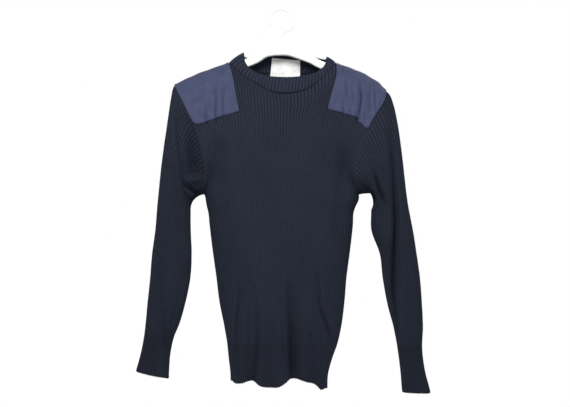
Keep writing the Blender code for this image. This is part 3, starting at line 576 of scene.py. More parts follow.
class Graph:
    """Adds and links the nodes of one tree."""

    def __init__(self, tree: Tree) -> None:
        """Works on this tree."""
        self.tree = tree

    def add(self, kind: str, settings: dict, values: dict) -> bpy.types.Node:
        """Adds a node.

        Args:
            kind: The node's type.
            settings: Its properties, set before its sockets.
            values: A number, colour or wire for each named or numbered socket.

        Returns:
            The node.
        """
        node = self.tree.nodes.new(kind)
        for name, setting in settings.items():
            setattr(node, name, setting)
        for name, value in values.items():
            if isinstance(value, Wire):
                self.tree.links.new(value.socket, node.inputs[name])
            else:
                node.inputs[name].default_value = value
        return node

    def out(self, node: bpy.types.Node, name: str | int = 0) -> Wire:
        """One output of a node."""
        return Wire(self, node.outputs[name])

    def wire(self, kind: str, settings: dict, values: dict, name: str | int = 0) -> Wire:
        """Adds a node and gives one of its outputs."""
        return self.out(self.add(kind, settings, values), name)

    def maths(self, operation: str, *values: Wire | float) -> Wire:
        """Adds one Math node."""
        return self.wire("ShaderNodeMath", {"operation": operation}, dict(enumerate(values)))

    def scaled(self, what: object, scale: Wire) -> Wire:
        """A colour or vector times a number."""
        values = {0: what, "Scale": scale}
        return self.wire("ShaderNodeVectorMath", {"operation": "SCALE"}, values)

    def blend(self, share: Wire, first: Wire | Colour, second: Colour) -> Wire:
        """Mixes two colours.

        Args:
            share: How much there is of the second.
            first: The first colour.
            second: The second.

        Returns:
            The mixed colour.
        """
        first = first if isinstance(first, Wire) else (*first, 1.0)
        values = {0: share, 6: first, 7: (*second, 1.0)}
        return self.wire("ShaderNodeMix", {"data_type": "RGBA"}, values, 2)

    def noise(self, where: Wire, scale: float, detail: float = 2.0, rough: float = 0.5) -> Wire:
        """Noise from 0 to 1 at this many waves to a metre."""
        values = {"Vector": where, "Scale": scale, "Detail": detail, "Roughness": rough}
        return self.wire("ShaderNodeTexNoise", {}, values)


class MaterialGraph(Graph):
    """The nodes of one material, from its coordinates to its shader."""

    def __init__(self, name: str) -> None:
        """Starts an empty material.

        Args:
            name: The material's name.
        """
        self.made = bpy.data.materials.new(name)
        self.made.use_nodes = True
        super().__init__(self.made.node_tree)
        self.tree.nodes.clear()
        self.place = self.wire("ShaderNodeTexCoord", {}, {}, "Object")

    def weave(self) -> tuple[Wire, Wire]:
        """Reads the cloth's own map.

        Returns:
            The rib or thread count across and the stitch rows up.
        """
        chart = self.wire("ShaderNodeUVMap", {"uv_map": "weave"}, {})
        parts = self.add("ShaderNodeSeparateXYZ", {}, {0: chart})
        return self.out(parts, 0), self.out(parts, 1)

    def finish(
        self,
        colour: Wire,
        roughness: Wire | float,
        height: Wire,
        depth: float,
        **constants: float | tuple,
    ) -> Material:
        """Ends the material in its shader.

        Args:
            colour: The base colour.
            roughness: The roughness.
            height: The relief, from 0 to 1.
            depth: The depth of the relief in metres.
            constants: Values set on the shader's own sockets, with _ for a space.

        Returns:
            The finished material.
        """
        bump = self.wire("ShaderNodeBump", {}, {
            "Height": height, "Distance": depth, "Strength": 1.0,
        })
        values = {"Base Color": colour, "Roughness": roughness, "Normal": bump}
        values.update({name.replace("_", " "): value for name, value in constants.items()})
        shader = self.wire("ShaderNodeBsdfPrincipled", {}, values)
        self.add("ShaderNodeOutputMaterial", {}, {"Surface": shader})
        return self.made


class ShapeGraph(Graph):
    """A Geometry Nodes tree that works on one mesh and sets one material."""

    def __init__(self, name: str, sizes: dict[str, float]) -> None:
        """Starts a tree.

        Args:
            name: The tree's name.
            sizes: Each named input, and its usual value.
        """
        super().__init__(bpy.data.node_groups.new(name, "GeometryNodeTree"))
        face = self.tree.interface
        for way in ("OUTPUT", "INPUT"):
            face.new_socket("Geometry", in_out=way, socket_type="NodeSocketGeometry")
        for label, usual in sizes.items():
            kind = "NodeSocketInt" if isinstance(usual, int) else "NodeSocketFloat"
            made = face.new_socket(label, in_out="INPUT", socket_type=kind)
            made.default_value = usual
        self.given = self.add("NodeGroupInput", {}, {})
        self.shape = self.size("Geometry")

    def size(self, label: str) -> Wire:
        """A named input of the tree."""
        return self.out(self.given, label)

    def read(self, name: str, kind: str = "FLOAT") -> Wire:
        """A named attribute of the mesh."""
        settings = {"data_type": kind}
        return self.wire("GeometryNodeInputNamedAttribute", settings, {"Name": name}, "Attribute")

    def end(self, shape: Wire, material: Material) -> Tree:
        """Realises the instances, sets the material and ends the tree.

        Args:
            shape: What the tree has made.
            material: What it is made of.

        Returns:
            The tree.
        """
        real = self.wire("GeometryNodeRealizeInstances", {}, {"Geometry": shape})
        values = {"Geometry": real, "Material": material}
        dressed = self.wire("GeometryNodeSetMaterial", {}, values)
        self.add("NodeGroupOutput", {}, {"Geometry": dressed})
        return self.tree


def grow(item: Item, tree: Tree, sizes: dict[str, float]) -> None:
    """Runs a Geometry Nodes tree on an object and keeps its result as a plain mesh.

    Args:
        item: The object.
        tree: The tree.
        sizes: A value for each named input.
    """
    modifier = item.modifiers.new(tree.name, "NODES")
    modifier.node_group = tree
    for socket in tree.interface.items_tree:
        if socket.item_type == "SOCKET" and socket.in_out == "INPUT" and socket.name in sizes:
            modifier[socket.identifier] = sizes[socket.name]
    settle(item)


def settle(item: Item) -> None:
    """Replaces an object's mesh with the result of its modifiers and clears them.

    Args:
        item: The object.
    """
    graph = bpy.context.evaluated_depsgraph_get()
    mesh = bpy.data.meshes.new_from_object(
        item.evaluated_get(graph), preserve_all_data_layers=True, depsgraph=graph
    )
    item.modifiers.clear()
    before = item.data
    item.data = mesh
    bpy.data.meshes.remove(before)
    mesh.name = item.name


def raised_ribs(material: Material) -> Tree:
    """The tree that raises round ribs out of a wall along its columns.

    Args:
        material: What the wall is made of.

    Returns:
        The tree, with the rib's height and fullness and the cloth's unevenness as inputs.
    """
    g = ShapeGraph("raised_ribs", {
        "Rib Height": 0.0015, "Rib Fullness": 1.25, "Unevenness": 0.0003,
    })
    across = 1 - abs(g.read("rib").part() * 2 - 1)
    crown = ((across * g.size("Rib Fullness")).least(1.0) * (math.pi / 2)).sine()
    slow = g.noise(g.wire("GeometryNodeInputPosition", {}, {}), 55.0, 2.0) - 0.5
    lift = crown * g.read("raised") * g.size("Rib Height") + slow * g.size("Unevenness") * 2
    move = g.scaled(g.read("out", "FLOAT_VECTOR"), lift)
    return g.end(
        g.wire("GeometryNodeSetPosition", {}, {"Geometry": g.shape, "Offset": move}), material
    )


def row_of_stitches(material: Material) -> Tree:
    """The tree that sews stitches along lines that hold the cloth's outward direction.

    Args:
        material: What the thread is made of.

    Returns:
        The tree, with pitch, length, thickness, slant, scatter and seed as inputs.
    """
    g = ShapeGraph("row_of_stitches", {
        "Pitch": 0.0035, "Length": 0.003, "Thickness": 0.0007, "Slant": 0.0,
        "Scatter": 0.1, "Seed": SEED,
    })
    line = g.wire("GeometryNodeMeshToCurve", {}, {"Mesh": g.shape})
    spots = g.add("GeometryNodeCurveToPoints", {"mode": "LENGTH"}, {
        "Curve": line, "Length": g.size("Pitch"),
    })
    chance = g.wire("FunctionNodeRandomValue", {"data_type": "FLOAT"}, {
        "Min": -1.0, "Max": 1.0, "Seed": g.size("Seed"),
    }, "Value")
    along = g.wire("FunctionNodeAlignRotationToVector", {"axis": "X"}, {
        "Vector": g.out(spots, "Tangent"),
    })
    flat = g.wire("FunctionNodeAlignRotationToVector", {"axis": "Z", "pivot_axis": "X"}, {
        "Rotation": along, "Vector": g.read("out", "FLOAT_VECTOR"),
    })
    turn = g.wire("FunctionNodeAxisAngleToRotation", {}, {
        "Axis": (0.0, 0.0, 1.0), "Angle": g.size("Slant") + chance * g.size("Scatter"),
    })
    turned = g.wire("FunctionNodeRotateRotation", {"rotation_space": "LOCAL"}, {
        "Rotation": flat, "Rotate By": turn,
    })
    ball = g.wire("GeometryNodeMeshUVSphere", {}, {"Segments": 6, "Rings": 5, "Radius": 0.5})
    size = g.wire("ShaderNodeCombineXYZ", {}, {
        0: g.size("Length"), 1: g.size("Thickness"), 2: g.size("Thickness"),
    })
    return g.end(g.wire("GeometryNodeInstanceOnPoints", {}, {
        "Points": g.out(spots, "Points"), "Instance": ball, "Rotation": turned, "Scale": size,
    }), material)


# ---- finishes
@dataclass(frozen=True)
class Finish:
    """How a piece looks, from its colour and its roughness."""

    tint: Colour
    roughness: float = 0.9

    def material(self, name: str) -> Material:
        """Makes the material for a piece of this name."""
        raise NotImplementedError


@dataclass(frozen=True)
class KnitFinish(Finish):
    """Wool rib knit: columns of V stitches on the ribs, hidden furrows in painted shade, soft
    fibres.
    """

    # painted shade: the darker colour that the furrows between the ribs take
    furrow: Colour = (0.0145, 0.0175, 0.0275)
    # lighter stray fibres: a random speckle, and a painted highlight of the fuzz on the rib crests
    fuzz_speckle_and_highlight: Colour = (0.075, 0.083, 0.115)
    roughness: float = 0.97
    stitch_depth: float = 0.0007
    courses: float = 1.0
    # waves to a metre of the single fibres, the tufts and the shading of the whole
    waves: tuple[float, float, float] = (1500.0, 420.0, 14.0)

    def material(self, name: str) -> Material:
        """Makes the knit.

        Args:
            name: The piece's name.

        Returns:
            The material.
        """
        g = MaterialGraph(name + "_knit")
        u, v = g.weave()
        v = v * self.courses
        stretch = g.wire("ShaderNodeAttribute", {"attribute_name": "raised"}, {}, "Fac")
        off = abs(u.part() - 0.5) * 2
        leg = (off / 0.62).least(1.0)
        wale = 1 - off.ramp(0.5, 0.72)
        groove = off.ramp(0.0, 0.14)
        yarn = ((v - leg * 0.75) * TURN).sine() * 0.5 + 0.5
        purl = (v * TURN + 2.2).sine() * 0.5 + 0.5
        stitch = wale * groove * yarn + (1 - wale) * purl * 0.3
        fibres, tufts, cloud = (
            g.noise(g.place, scale, 3.0, rough)
            for scale, rough in zip(self.waves, (0.65, 0.6, 0.55))
        )
        # painted shade: the furrows between stretched ribs take the darker colour, and cloth at
        # rest takes part of it all over
        painted_furrow_shade = off.ramp(0.25, 0.95) * stretch + (1 - stretch) * 0.55
        colour = g.blend(painted_furrow_shade, self.tint, self.furrow)
        # the stitch term is painted shade between the stitch loops; fibres, cloud and tufts vary
        # the tone at random
        shade = (stitch * 0.42 + 0.74) * (fibres * 0.7 + 0.65) * (cloud * 0.34 + 0.83)
        shade = shade * (tufts * 0.8 + 0.6)
        colour = g.scaled(colour, shade)
        # stray fibres: a random speckle, lighter on the rib crests as a painted highlight of the
        # fuzz
        fuzz_speckle_and_highlight_share = fibres.ramp(0.60, 0.78) * tufts.ramp(0.45, 0.7) * (1 - off * 0.7)
        colour = g.blend(fuzz_speckle_and_highlight_share * 0.45, colour, self.fuzz_speckle_and_highlight)
        height = stitch * 0.75 + fibres * 0.16 + tufts * 0.22
        return g.finish(
            colour, self.roughness - stitch * 0.1, height, self.stitch_depth,
            Specular_IOR_Level=0.04,
            Sheen_Weight=0.03, Sheen_Roughness=0.45, Sheen_Tint=(0.45, 0.55, 0.85, 1.0),
        )


@dataclass(frozen=True)
class WovenFinish(Finish):
    """Plain-woven cloth: threads over and under, slubs and slight sheen."""

    thread: float = 0.8
    shade_depth: float = 0.16
    thread_depth: float = 0.00022

    def material(self, name: str) -> Material:
        """Makes the cloth, on a map counted in millimetres.

        Args:
            name: The piece's name.

        Returns:
            The material.
        """
        g = MaterialGraph(name + "_cloth")
        u, v = g.weave()
        warp, weft = u / self.thread, v / self.thread
        along, across = (warp * math.pi).sine(), (weft * math.pi).sine()
        over = (along * across) > 0.0
        height = over * abs(along) + (1 - over) * abs(across)
        lines = [
            g.wire("ShaderNodeTexWhiteNoise", {"noise_dimensions": "1D"}, {"W": count.whole()})
            for count in (warp, weft)
        ]
        slub = over * lines[0] + (1 - over) * lines[1]
        cloud = g.noise(g.place, 60.0, 4.0, 0.65)
        fuzz = g.noise(g.place, 500.0, 3.0, 0.6)
        # the height term is painted shade where the threads dip under; slub, cloud and fuzz vary
        # the tone at random
        shade = (
            (height * 0.25 + 0.85) * (slub * self.shade_depth + 1 - self.shade_depth / 2)
            * (cloud * 0.7 + 0.65) * (fuzz * 0.5 + 0.75)
        )
        colour = g.scaled(self.tint, shade)
        return g.finish(
            colour, self.roughness - height * 0.08, height * 0.8 + fuzz * 0.2,
            self.thread_depth, Specular_IOR_Level=0.3,
            Sheen_Weight=0.08, Sheen_Roughness=0.4,
        )


@dataclass(frozen=True)
class ThreadFinish(Finish):
    """Sewing or linking yarn, twisted."""

    def material(self, name: str) -> Material:
        """Makes the yarn.

        Args:
            name: The piece's name.

        Returns:
            The material.
        """
        g = MaterialGraph(name + "_thread")
        twist = g.noise(g.place, 1700.0, 2.0, 0.6)
        colour = g.scaled(self.tint, twist * 0.9 + 0.55)
        return g.finish(colour, self.roughness, twist, 0.0002)


@dataclass(frozen=True)
class MouldedFinish(Finish):
    """White moulded plastic: faint flow marks, fine grain and a soft gloss."""

    def material(self, name: str) -> Material:
        """Makes the plastic.

        Args:
            name: The piece's name.

        Returns:
            The material.
        """
        g = MaterialGraph(name + "_plastic")
        flow = g.noise(g.place, 16.0, 3.0, 0.5)
        grain = g.noise(g.place, 900.0, 2.0, 0.5)
        dust = g.noise(g.place, 160.0, 4.0, 0.7).ramp(0.62, 0.8)
        colour = g.scaled(self.tint, flow * 0.05 + 0.975)
        colour = g.blend(dust * 0.06, colour, (0.55, 0.54, 0.52))
        rough = flow * 0.12 + dust * 0.15 + (self.roughness - 0.06)
        return g.finish(colour, rough, grain, 0.00006, Coat_Weight=0.15, Coat_Roughness=0.2)


@dataclass(frozen=True)
class FloorFinish(Finish):
    """The matt pale floor of a studio."""

    def material(self, name: str) -> Material:
        """Makes the floor.

        Args:
            name: The piece's name.

        Returns:
            The material.
        """
        g = MaterialGraph(name + "_matt")
        grain = g.noise(g.place, 40.0, 3.0, 0.5)
        colour = g.scaled(self.tint, grain * 0.03 + 0.985)
        return g.finish(colour, self.roughness, grain, 0.0002)


NAVY = KnitFinish(tint=(0.0235, 0.0278, 0.0425))
# lighter tint: painted light on the neckband at the top; the tighter courses and shallower stitches
# are real
NAVY_BAND_LIT = KnitFinish(tint=(0.0262, 0.0295, 0.0475), stitch_depth=0.0006, courses=1.12)
# darker tint: painted shade for the waistbands and cuffs low on the garment; the tighter courses
# and shallower stitches are real
NAVY_TIGHT_SHADED = KnitFinish(tint=(0.0200, 0.0236, 0.0360), stitch_depth=0.0006, courses=1.12)
PATCH = WovenFinish(tint=(0.0374, 0.0452, 0.0965), roughness=0.8, shade_depth=0.26)
LABEL = WovenFinish(tint=(0.80, 0.80, 0.79), roughness=0.62, thread=0.45, shade_depth=0.08,
                    thread_depth=0.00012)
NAVY_THREAD = ThreadFinish(tint=(0.014, 0.017, 0.028), roughness=0.8)
PATCH_THREAD = ThreadFinish(tint=(0.032, 0.038, 0.076), roughness=0.7)
LABEL_THREAD = ThreadFinish(tint=(0.72, 0.72, 0.71), roughness=0.6)
PLASTIC = MouldedFinish(tint=(0.86, 0.86, 0.855), roughness=0.34)
FLOOR = FloorFinish(tint=(0.90, 0.90, 0.90), roughness=0.85)


def enlist(
    item: Item,
    node: str = "",
) -> None:
    """Attaches a finished piece to the body, hides the solid that it stands for, and reports it.

    Args:
        item: The piece.
        node: The solid that it stands for, if there is one.
    """
    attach(item, BODY)
    if node:
        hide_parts(node)
    item.data.calc_loop_triangles()
    LOG.info("%s: %d triangles", item.name, len(item.data.loop_triangles))


# ---- body
UNDERARM_Z = -377.0
WAIST_SEAM_Z = -684.0


@dataclass
class Body:
    """The front and back panels with their waistbands, cut on one tapered body."""

    ribs: int = 60
    neck_from: float = 0.25
    neck_to: float = 0.75
    squareness: float = 2.5
    chest_width: float = 140.0   # half width of the section that spaces the ribs
    chest_depth: float = 66.0
    back_depth: float = 0.92
    slack: float = 0.9           # how far the plain cloth wanders in and out
    drape_height: float = 250.0
    armhole_fullness: float = 0.88
    armhole_curve: float = 6.0
    armhole_reach: float = 0.08
    flat_from: float = 0.6
    groove: float = 1.9          # how deep the neckline seam is drawn in
    groove_gap: float = 0.7
    thickness: float = 2.0
    rib_height: float = 1.3
    rib_rest: float = 0.45       # share of the rib height where the cloth hangs unstretched
    lower_rows: int = 62
    upper_rows: int = 56
    waist_rows: int = 20
    hem_z: float = -770.0        # about where the hem hangs
    hem_wave: float = 0.9        # how far each rib dips or rises at the hem
    plain_edge: float = 0.9      # ribs beside the armhole that lie flat
    plain_over: float = 0.7      # and over how many more they rise
    patch_press: float = 0.55    # share of the rib height that a patch presses out
    press_above: float = 0.01    # how far over the patch's edge that begins
    press_over: float = 0.03
    # heights over which the ribs open from rest to full, and how far they take for it
    open_from: float = -330.0
    open_over: float = 190.0
    # height, left edge, right edge, half depth
    sections: Table = (
        (-377, -155, 158.5, 66), (-390, -152.5, 157.5, 66.5), (-402, -150.5, 151.5, 67),
        (-414, -147.5, 147.4, 67.5), (-438, -145, 146, 68), (-488, -139, 140.5, 68),
        (-550, -130.5, 132.5, 66), (-598, -124.5, 128.5, 63), (-648, -114.5, 122, 59),
        (-685, -108.5, 113.5, 55), (-710, -106, 104.5, 55), (-746, -102, 95, 57),
        (-780, -102, 93.5, 58),
    )
    # share of the way up from the underarm, left and right edge at the armhole
    armhole: Table = (
        (0, -156, 158.5), (0.19, -151, 147), (0.32, -155, 151), (0.44, -161, 159.5),
        (0.58, -169, 171), (0.69, -182, 183), (0.80, -194.5, 197), (0.90, -206, 210),
        (1, -218.5, 214.5),
    )
    shoulder_line: Table = (
        (-218.5, -157), (-190.2, -142), (-154.8, -128), (-105.6, -110), (-40, -100), (40, -100),
        (111.7, -110.5), (144.7, -122.5), (172, -134.5), (199.3, -151), (214.5, -167.5),
    )
    neck_front: Table = (
        (-105.6, -110), (-88, -127), (-67, -144), (-42, -158.5), (-20, -170.5), (5, -175),
        (29, -172.5), (52, -166), (70, -153), (90, -134), (111.7, -110.5),
    )
    neck_back: Table = (
        (-105.6, -110), (-75, -120), (-35, -125.5), (5, -126.5), (45, -125.5), (82, -120),
        (111.7, -110.5),
    )
    hem_front: Table = (
        (-107, -750), (-102, -753), (-95.5, -759), (-80, -760), (-58, -754.5), (-48, -761),
        (-37, -765.5), (-20, -767), (-3, -765.5), (9, -758.5), (19, -750), (48, -752.5), (72, -765),
        (81, -773.5), (89, -771.5), (97, -768),
    )
    hem_back: Table = (
        (-107, -757), (-80, -765), (-40, -761), (-10, -768), (30, -760), (62, -768), (97, -775),
    )
    front_folds: tuple[Fold | Crease, ...] = (
        Fold((16, 24), (-545, -790), 14, (0, 22)),
        Fold((-66, -60), (-545, -790), 12, (0, 15)),
        Fold((-128, -112), (-270, -470), 13, (7, 2)),
        Fold((126, 116), (-290, -480), 11, (9, 3)),
        Crease(((14, -555, 1), (17, -600, 6), (20, -660, 11), (21, -720, 13),
                (21, -800, 12)), (5.5, 18)),
        Crease(((-85, -540, 1.5), (-85, -590, 7), (-88, -635, 9.5), (-90, -695, 6),
                (-90, -730, 1)), (4.6, 9)),
        Crease(((-52, -570, 1), (-45, -635, 6.5), (-46, -690, 9.5), (-49, -750, 11.5),
                (-49, -800, 10)), (7.5, 4.6)),
        Crease(((72, -530, 1.5), (75, -595, 8), (82, -620, 10.5), (94, -655, 12.5),
                (98, -675, 9), (95, -705, 1)), (10, 5.6)),
        Crease(((62, -680, 3), (66, -740, 9), (66, -800, 9)), (18, 11)),
        Fold((-88, -70, -62), (-470, -560, -640), 9, (0, 2.6, 1)),
        Fold((52, 46), (-470, -600), 10, (0.5, 2)),
        Fold((-30, -24), (-600, -790), 10, (0.4, 2.4)),
        Fold((60, 58), (-640, -790), 8, (0.5, 2.6)),
        Fold((-140, -96), (-300, -400), 8, (1.6, 0.3)),
        Fold((140, 100), (-300, -390), 8, (1.8, 0.3)),
        Fold((-62, -30), (-190, -300), 14, (1.2, 0.2)),
        Fold((72, 44), (-190, -300), 14, (1.2, 0.2)),
        # under and with the left patch
        Crease(((-141, -148, 2), (-140, -160, 6), (-139, -178, 1)), (5.5, 7), lip=0.5),
        Crease(((-133, -164, 1), (-131, -190, 5.5), (-131, -228, 5), (-131, -240, 0)),
               (3.8, 4.6), lip=0.5),
        Crease(((-154, -186, 1), (-153, -212, 4), (-152, -234, 4), (-152, -244, 0)),
               (3.6, 4.4), lip=0.5),
        Crease(((-117, -158, 1), (-118, -188, 4.5), (-119, -222, 4), (-119, -234, 0)),
               (4.4, 3.8), lip=0.5),
        Crease(((-163, -165, 1), (-162, -185, 4.5), (-160, -206, 1)), (6, 6)),
        # under and with the right patch
        Crease(((161, -148, 4), (162, -164, 10), (164, -186, 12), (161, -205, 9),
                (157, -228, 7), (155, -238, 0)), (6, 2.8), lip=0.5),
        Crease(((181, -150, 2), (180.5, -180, 5.5), (181, -208, 3.5), (180, -226, 0)),
               (4.2, 3), lip=0.5),
        Crease(((189, -158, 1), (190, -176, 5), (191, -198, 4), (192, -210, 0)),
               (3, 3), lip=0.5),
        Crease(((172, -216, 0), (171.5, -228, 3), (171, -240, 0)), (2.6, 2.6)),
        Crease(((134, -146, 2), (133.5, -172, 4.5), (134, -200, 2)), (4, 3.6), lip=0.5),
        Crease(((127, -178, 1), (126.5, -200, 4.5), (126, -216, 4), (126, -226, 0)),
               (3.4, 3.4), lip=0.5),
        Crease(((148, -140, 1), (148, -165, 4), (150, -200, 3)), (4.5, 4)),
    )
    back_folds: tuple[Fold | Crease, ...] = (
        Fold((-34, -28), (-540, -790), 14, (0, 26)),
        Fold((52, 48), (-555, -790), 13, (0, 21)),
        Fold((-84, -78), (-570, -720), 12, (3, 5)),
        Fold((-120, -106), (-260, -450), 16, (6, 2)),
        Fold((116, 104), (-280, -470), 16, (6, 2)),
        Fold((8, 12), (-600, -790), 10, (0.4, 2.6)),
        Fold((88, 80), (-520, -700), 11, (1, 3.6)),
        Fold((-60, -24), (-170, -330), 15, (1.6, 0.2)),
        Fold((64, 30), (-170, -320), 15, (1.5, 0.2)),
        Fold((0, 4), (-150, -260), 18, (-1.5, 0)),
        Crease(((-120, -132, 1), (-116, -160, 4), (-118, -225, 3), (-118, -238, 0)),
               (4.5, 5.5), lip=0.5),
        Crease(((-166, -165, 1), (-156, -190, 4), (-152, -232, 2)), (4.5, 5.5), lip=0.5),
        Crease(((128, -135, 1), (124, -165, 4), (126, -226, 3), (126, -238, 0)),
               (5.5, 4.5), lip=0.5),
        Crease(((172, -170, 1), (163, -192, 4), (158, -235, 2)), (5.5, 4.5), lip=0.5),
    )
    # share from the armhole to the neck against the lower edge of a patch, as a share up
    left_patch_edge: Table = (
        (0, 0.652), (0.05, 0.630), (0.2, 0.620), (0.5, 0.625), (1, 0.627),
    )
    right_patch_edge: Table = (
        (0, 0.627), (0.04, 0.617), (0.14, 0.623), (0.26, 0.641), (0.3, 0.655), (0.4, 0.653),
        (0.65, 0.646), (1, 0.644),
    )
    panels: dict[Face, Surface] = field(default_factory=dict)
    bands: dict[Face, Surface] = field(default_factory=dict)
    ups: Array = field(default_factory=lambda: np.zeros(0))

    def top_x(self, share: Array) -> Array:
        """Where a column ends: x along the shoulders and across the neck."""
        ends = (self.shoulder_line[0][0], self.neck_front[0][0], self.neck_front[-1][0],
                self.shoulder_line[-1][0])
        return np.interp(share, (0.0, self.neck_from, self.neck_to, 1.0), ends)

    def section(self, share: Array) -> Arrays:
        """Across and depth on the half section at a share of its edge."""
        across, deep = even_oval(share, self.chest_width, self.chest_depth, self.squareness,
                                 math.pi)
        return -across, np.abs(deep)

    def inward(self, face: Face, x: Array, z: Array) -> Array:
        """How far the folds and the slack push points in.

        Args:
            face: Which half of the body they are on.
            x: Where they are across.
            z: Their height.

        Returns:
            The push at each point.
        """
        total = ripple(x + 40 * face.value, z, 1.3 * face.value) * self.slack
        for fold in self.front_folds if face is Face.FRONT else self.back_folds:
            total = total + fold.inward(x, z)
        return total

    def lower(self, face: Face, z: Array, share: Array) -> Array:
        """Points of a face below the arms.

        Args:
            face: Which half of the body.
            z: Their height.
            share: Share of the way across.

        Returns:
            The points, where the two broadcast.
        """
        across, deep = self.section(share)
        z = z + np.zeros_like(across)
        left, right, half = (read(self.sections, z, column) for column in (1, 2, 3))
        half = half * (self.back_depth if face is Face.BACK else 1.0)
        x = (left + right) / 2 + (right - left) / 2 * across
        y = (half - self.inward(face, x, z)) * deep
        return np.stack([x, face.value * y, z], axis=-1)

    def upper(self, face: Face, up: Array, share: Array) -> Array:
        """Points of a face from the underarm to the shoulder.

        Args:
            face: Which half of the body.
            up: Share of the way up.
            share: Share of the way across.

        Returns:
            The points, where the two broadcast.
        """
        across, deep = self.section(share)
        top_x = self.top_x(share)
        first, last = self.shoulder_line[0][0], self.shoulder_line[-1][0]
        evened = ease(up / self.flat_from)
        flat = (top_x - (first + last) / 2) / ((last - first) / 2)
        across = across * (1 - evened) + flat * evened
        left, right = read(self.armhole, up, 1), read(self.armhole, up, 2)
        x = (left + right) / 2 + (right - left) / 2 * across
        neck = self.neck_front if face is Face.FRONT else self.neck_back
        in_neck = (share > self.neck_from) & (share < self.neck_to)
        top_z = np.where(in_neck, read(neck, top_x), straight(self.shoulder_line, top_x))
        z = UNDERARM_Z + up * (top_z - UNDERARM_Z)
        below = np.clip((straight(self.shoulder_line, x) - z) / self.drape_height, 0.0, 1.0)
        drape = np.sqrt(1 - (1 - below) ** 2)
        near = np.exp(-((np.minimum(share, 1 - share) / self.armhole_reach) ** 2))
        soon = np.sqrt(1 - (1 - up) ** self.armhole_curve)
        edge = self.armhole_fullness * (near * soon + (1 - near) * evened)
        fullness = edge + (1 - edge) * deep
        half = self.chest_depth * (self.back_depth if face is Face.BACK else 1.0)
        y = (half - self.inward(face, x, z)) * drape * fullness
        shoulder = (up >= 1.0) & ((share <= self.neck_from) | (share >= self.neck_to))
        y = np.where(shoulder, 0.0, y)
        x, z = x + np.zeros_like(y), z + np.zeros_like(y)
        return np.stack([x, face.value * y, z], axis=-1)

    def shape(self) -> None:
        """Works out the grids of both panels and both waistbands."""
        rib = rib_places(self.ribs, False)
        share = rib / self.ribs
        lower_z = np.linspace(WAIST_SEAM_Z, UNDERARM_Z, self.lower_rows, endpoint=False)
        self.ups = 1 - (1 - np.linspace(0.0, 1.0, self.upper_rows)) ** 1.5
        part = np.linspace(0.0, 1.0, self.waist_rows)[:, None]
        for face in Face:
            low = self.lower(face, lower_z[:, None], share[None, :])
            high = self.upper(face, self.ups[:, None], share[None, :])
            hem = self.hem_front if face is Face.FRONT else self.hem_back
            hem_z = read(hem, self.lower(face, np.full(len(share), self.hem_z), share)[:, 0])
            hem_z = hem_z + self.hem_wave * np.cos(TURN * rib)
            band = self.lower(face, hem_z + (WAIST_SEAM_Z - hem_z) * part, share[None, :])
            for made, grid in ((self.panels, np.concatenate([low, high])), (self.bands, band)):
                courses = course_counts(grid[:, grid.shape[1] // 2])
                made[face] = Surface(grid, rib, courses, False)
                made[face].face_out(grid * [0.8, 0.0, 1.0])
        self.join()

    def join(self) -> None:
        """Gives the side, shoulder and waist seams one direction on both of their sides."""
        front, back = (self.panels[face].normals for face in Face)
        shoulder = np.abs(self.panels[Face.FRONT].points[-1, :, 1]) < 1e-9
        mean = front[-1, shoulder] + back[-1, shoulder]
        mean[:, 1] = 0.0
        front[-1, shoulder] = back[-1, shoulder] = unit(mean)
        low = slice(0, self.lower_rows + 1)
        for column in (0, -1):
            mean = unit(front[low, column] + back[low, column])
            front[low, column] = back[low, column] = mean
            band_front, band_back = (self.bands[face].normals for face in Face)
            mean = unit(band_front[:, column] + band_back[:, column])
            band_front[:, column] = band_back[:, column] = mean
        for face in Face:
            mean = self.panels[face].normals[0] + self.bands[face].normals[-1]
            mean[:, 2] = 0.0
            self.panels[face].normals[0] = self.bands[face].normals[-1] = unit(mean)

    def edge(self, face: Face, side: Side, up: Array) -> Array:
        """Points on an armhole edge at shares of the way up."""
        return self.upper(face, up, np.full(len(up), 0.0 if side is Side.LEFT else 1.0))

    def row_at(self, up: Array) -> Array:
        """The row of a panel's grid at a share of the way up from the underarm."""
        return self.lower_rows + np.interp(up, self.ups, np.arange(self.upper_rows))

    def rib_room(self, face: Face) -> Array:
        """Works out where the ribs stand full and where they are pressed or at rest.

        Args:
            face: Which panel.

        Returns:
            The share of the rib height at each point of the panel.
        """
        s = self.panels[face]
        share = s.rib / self.ribs
        from_edge = np.minimum(s.rib, self.ribs - s.rib)[None, :]
        row = np.arange(s.points.shape[0])[:, None]
        by_armhole = ease((row - self.lower_rows + 3) / 6)
        room = 1 - by_armhole * (1 - ease((from_edge - self.plain_edge) / self.plain_over))
        up = np.concatenate([np.zeros(self.lower_rows), self.ups])[:, None]
        for edge, across in (
            (self.left_patch_edge, share / self.neck_from),
            (self.right_patch_edge, (1 - share) / (1 - self.neck_to)),
        ):
            above = (up - straight(edge, across) - self.press_above) / self.press_over
            room = room * (1 - self.patch_press * ease(above) * (across < 1.02))
        opened = ease((s.points[..., 2] - self.open_from) / self.open_over)
        return room * (self.rib_rest + (1 - self.rib_rest) * opened)

    def build(self) -> None:
        """Makes the panels and the waistbands."""
        for face in Face:
            word = face.name.lower()
            s, band = self.panels[face], self.bands[face]
            in_neck = (s.rib > self.neck_from * self.ribs) & (s.rib < self.neck_to * self.ribs)
            in_groove = in_neck & (face is Face.FRONT)
            s.draw_in(0)
            s.draw_in(-1, np.where(in_groove, self.groove_gap, SEAM_GAP))
            if face is Face.FRONT:
                first, last = np.flatnonzero(in_neck)[[0, -1]]
                s.sink((-1, -2, -3, -4), self.groove, slice(first + 4, last - 3))
            band.draw_in(-1)
            for surface in (s, band):
                for column in (0, -1):
                    surface.draw_in(column, is_side=True)
            wall = Wall(f"{word}_body", s, self.thickness, self.rib_room(face), NAVY,
                        self.rib_height)
            enlist(wall.build(), f"{word}_panel")
            room = np.full(band.points.shape[:2], self.rib_rest)
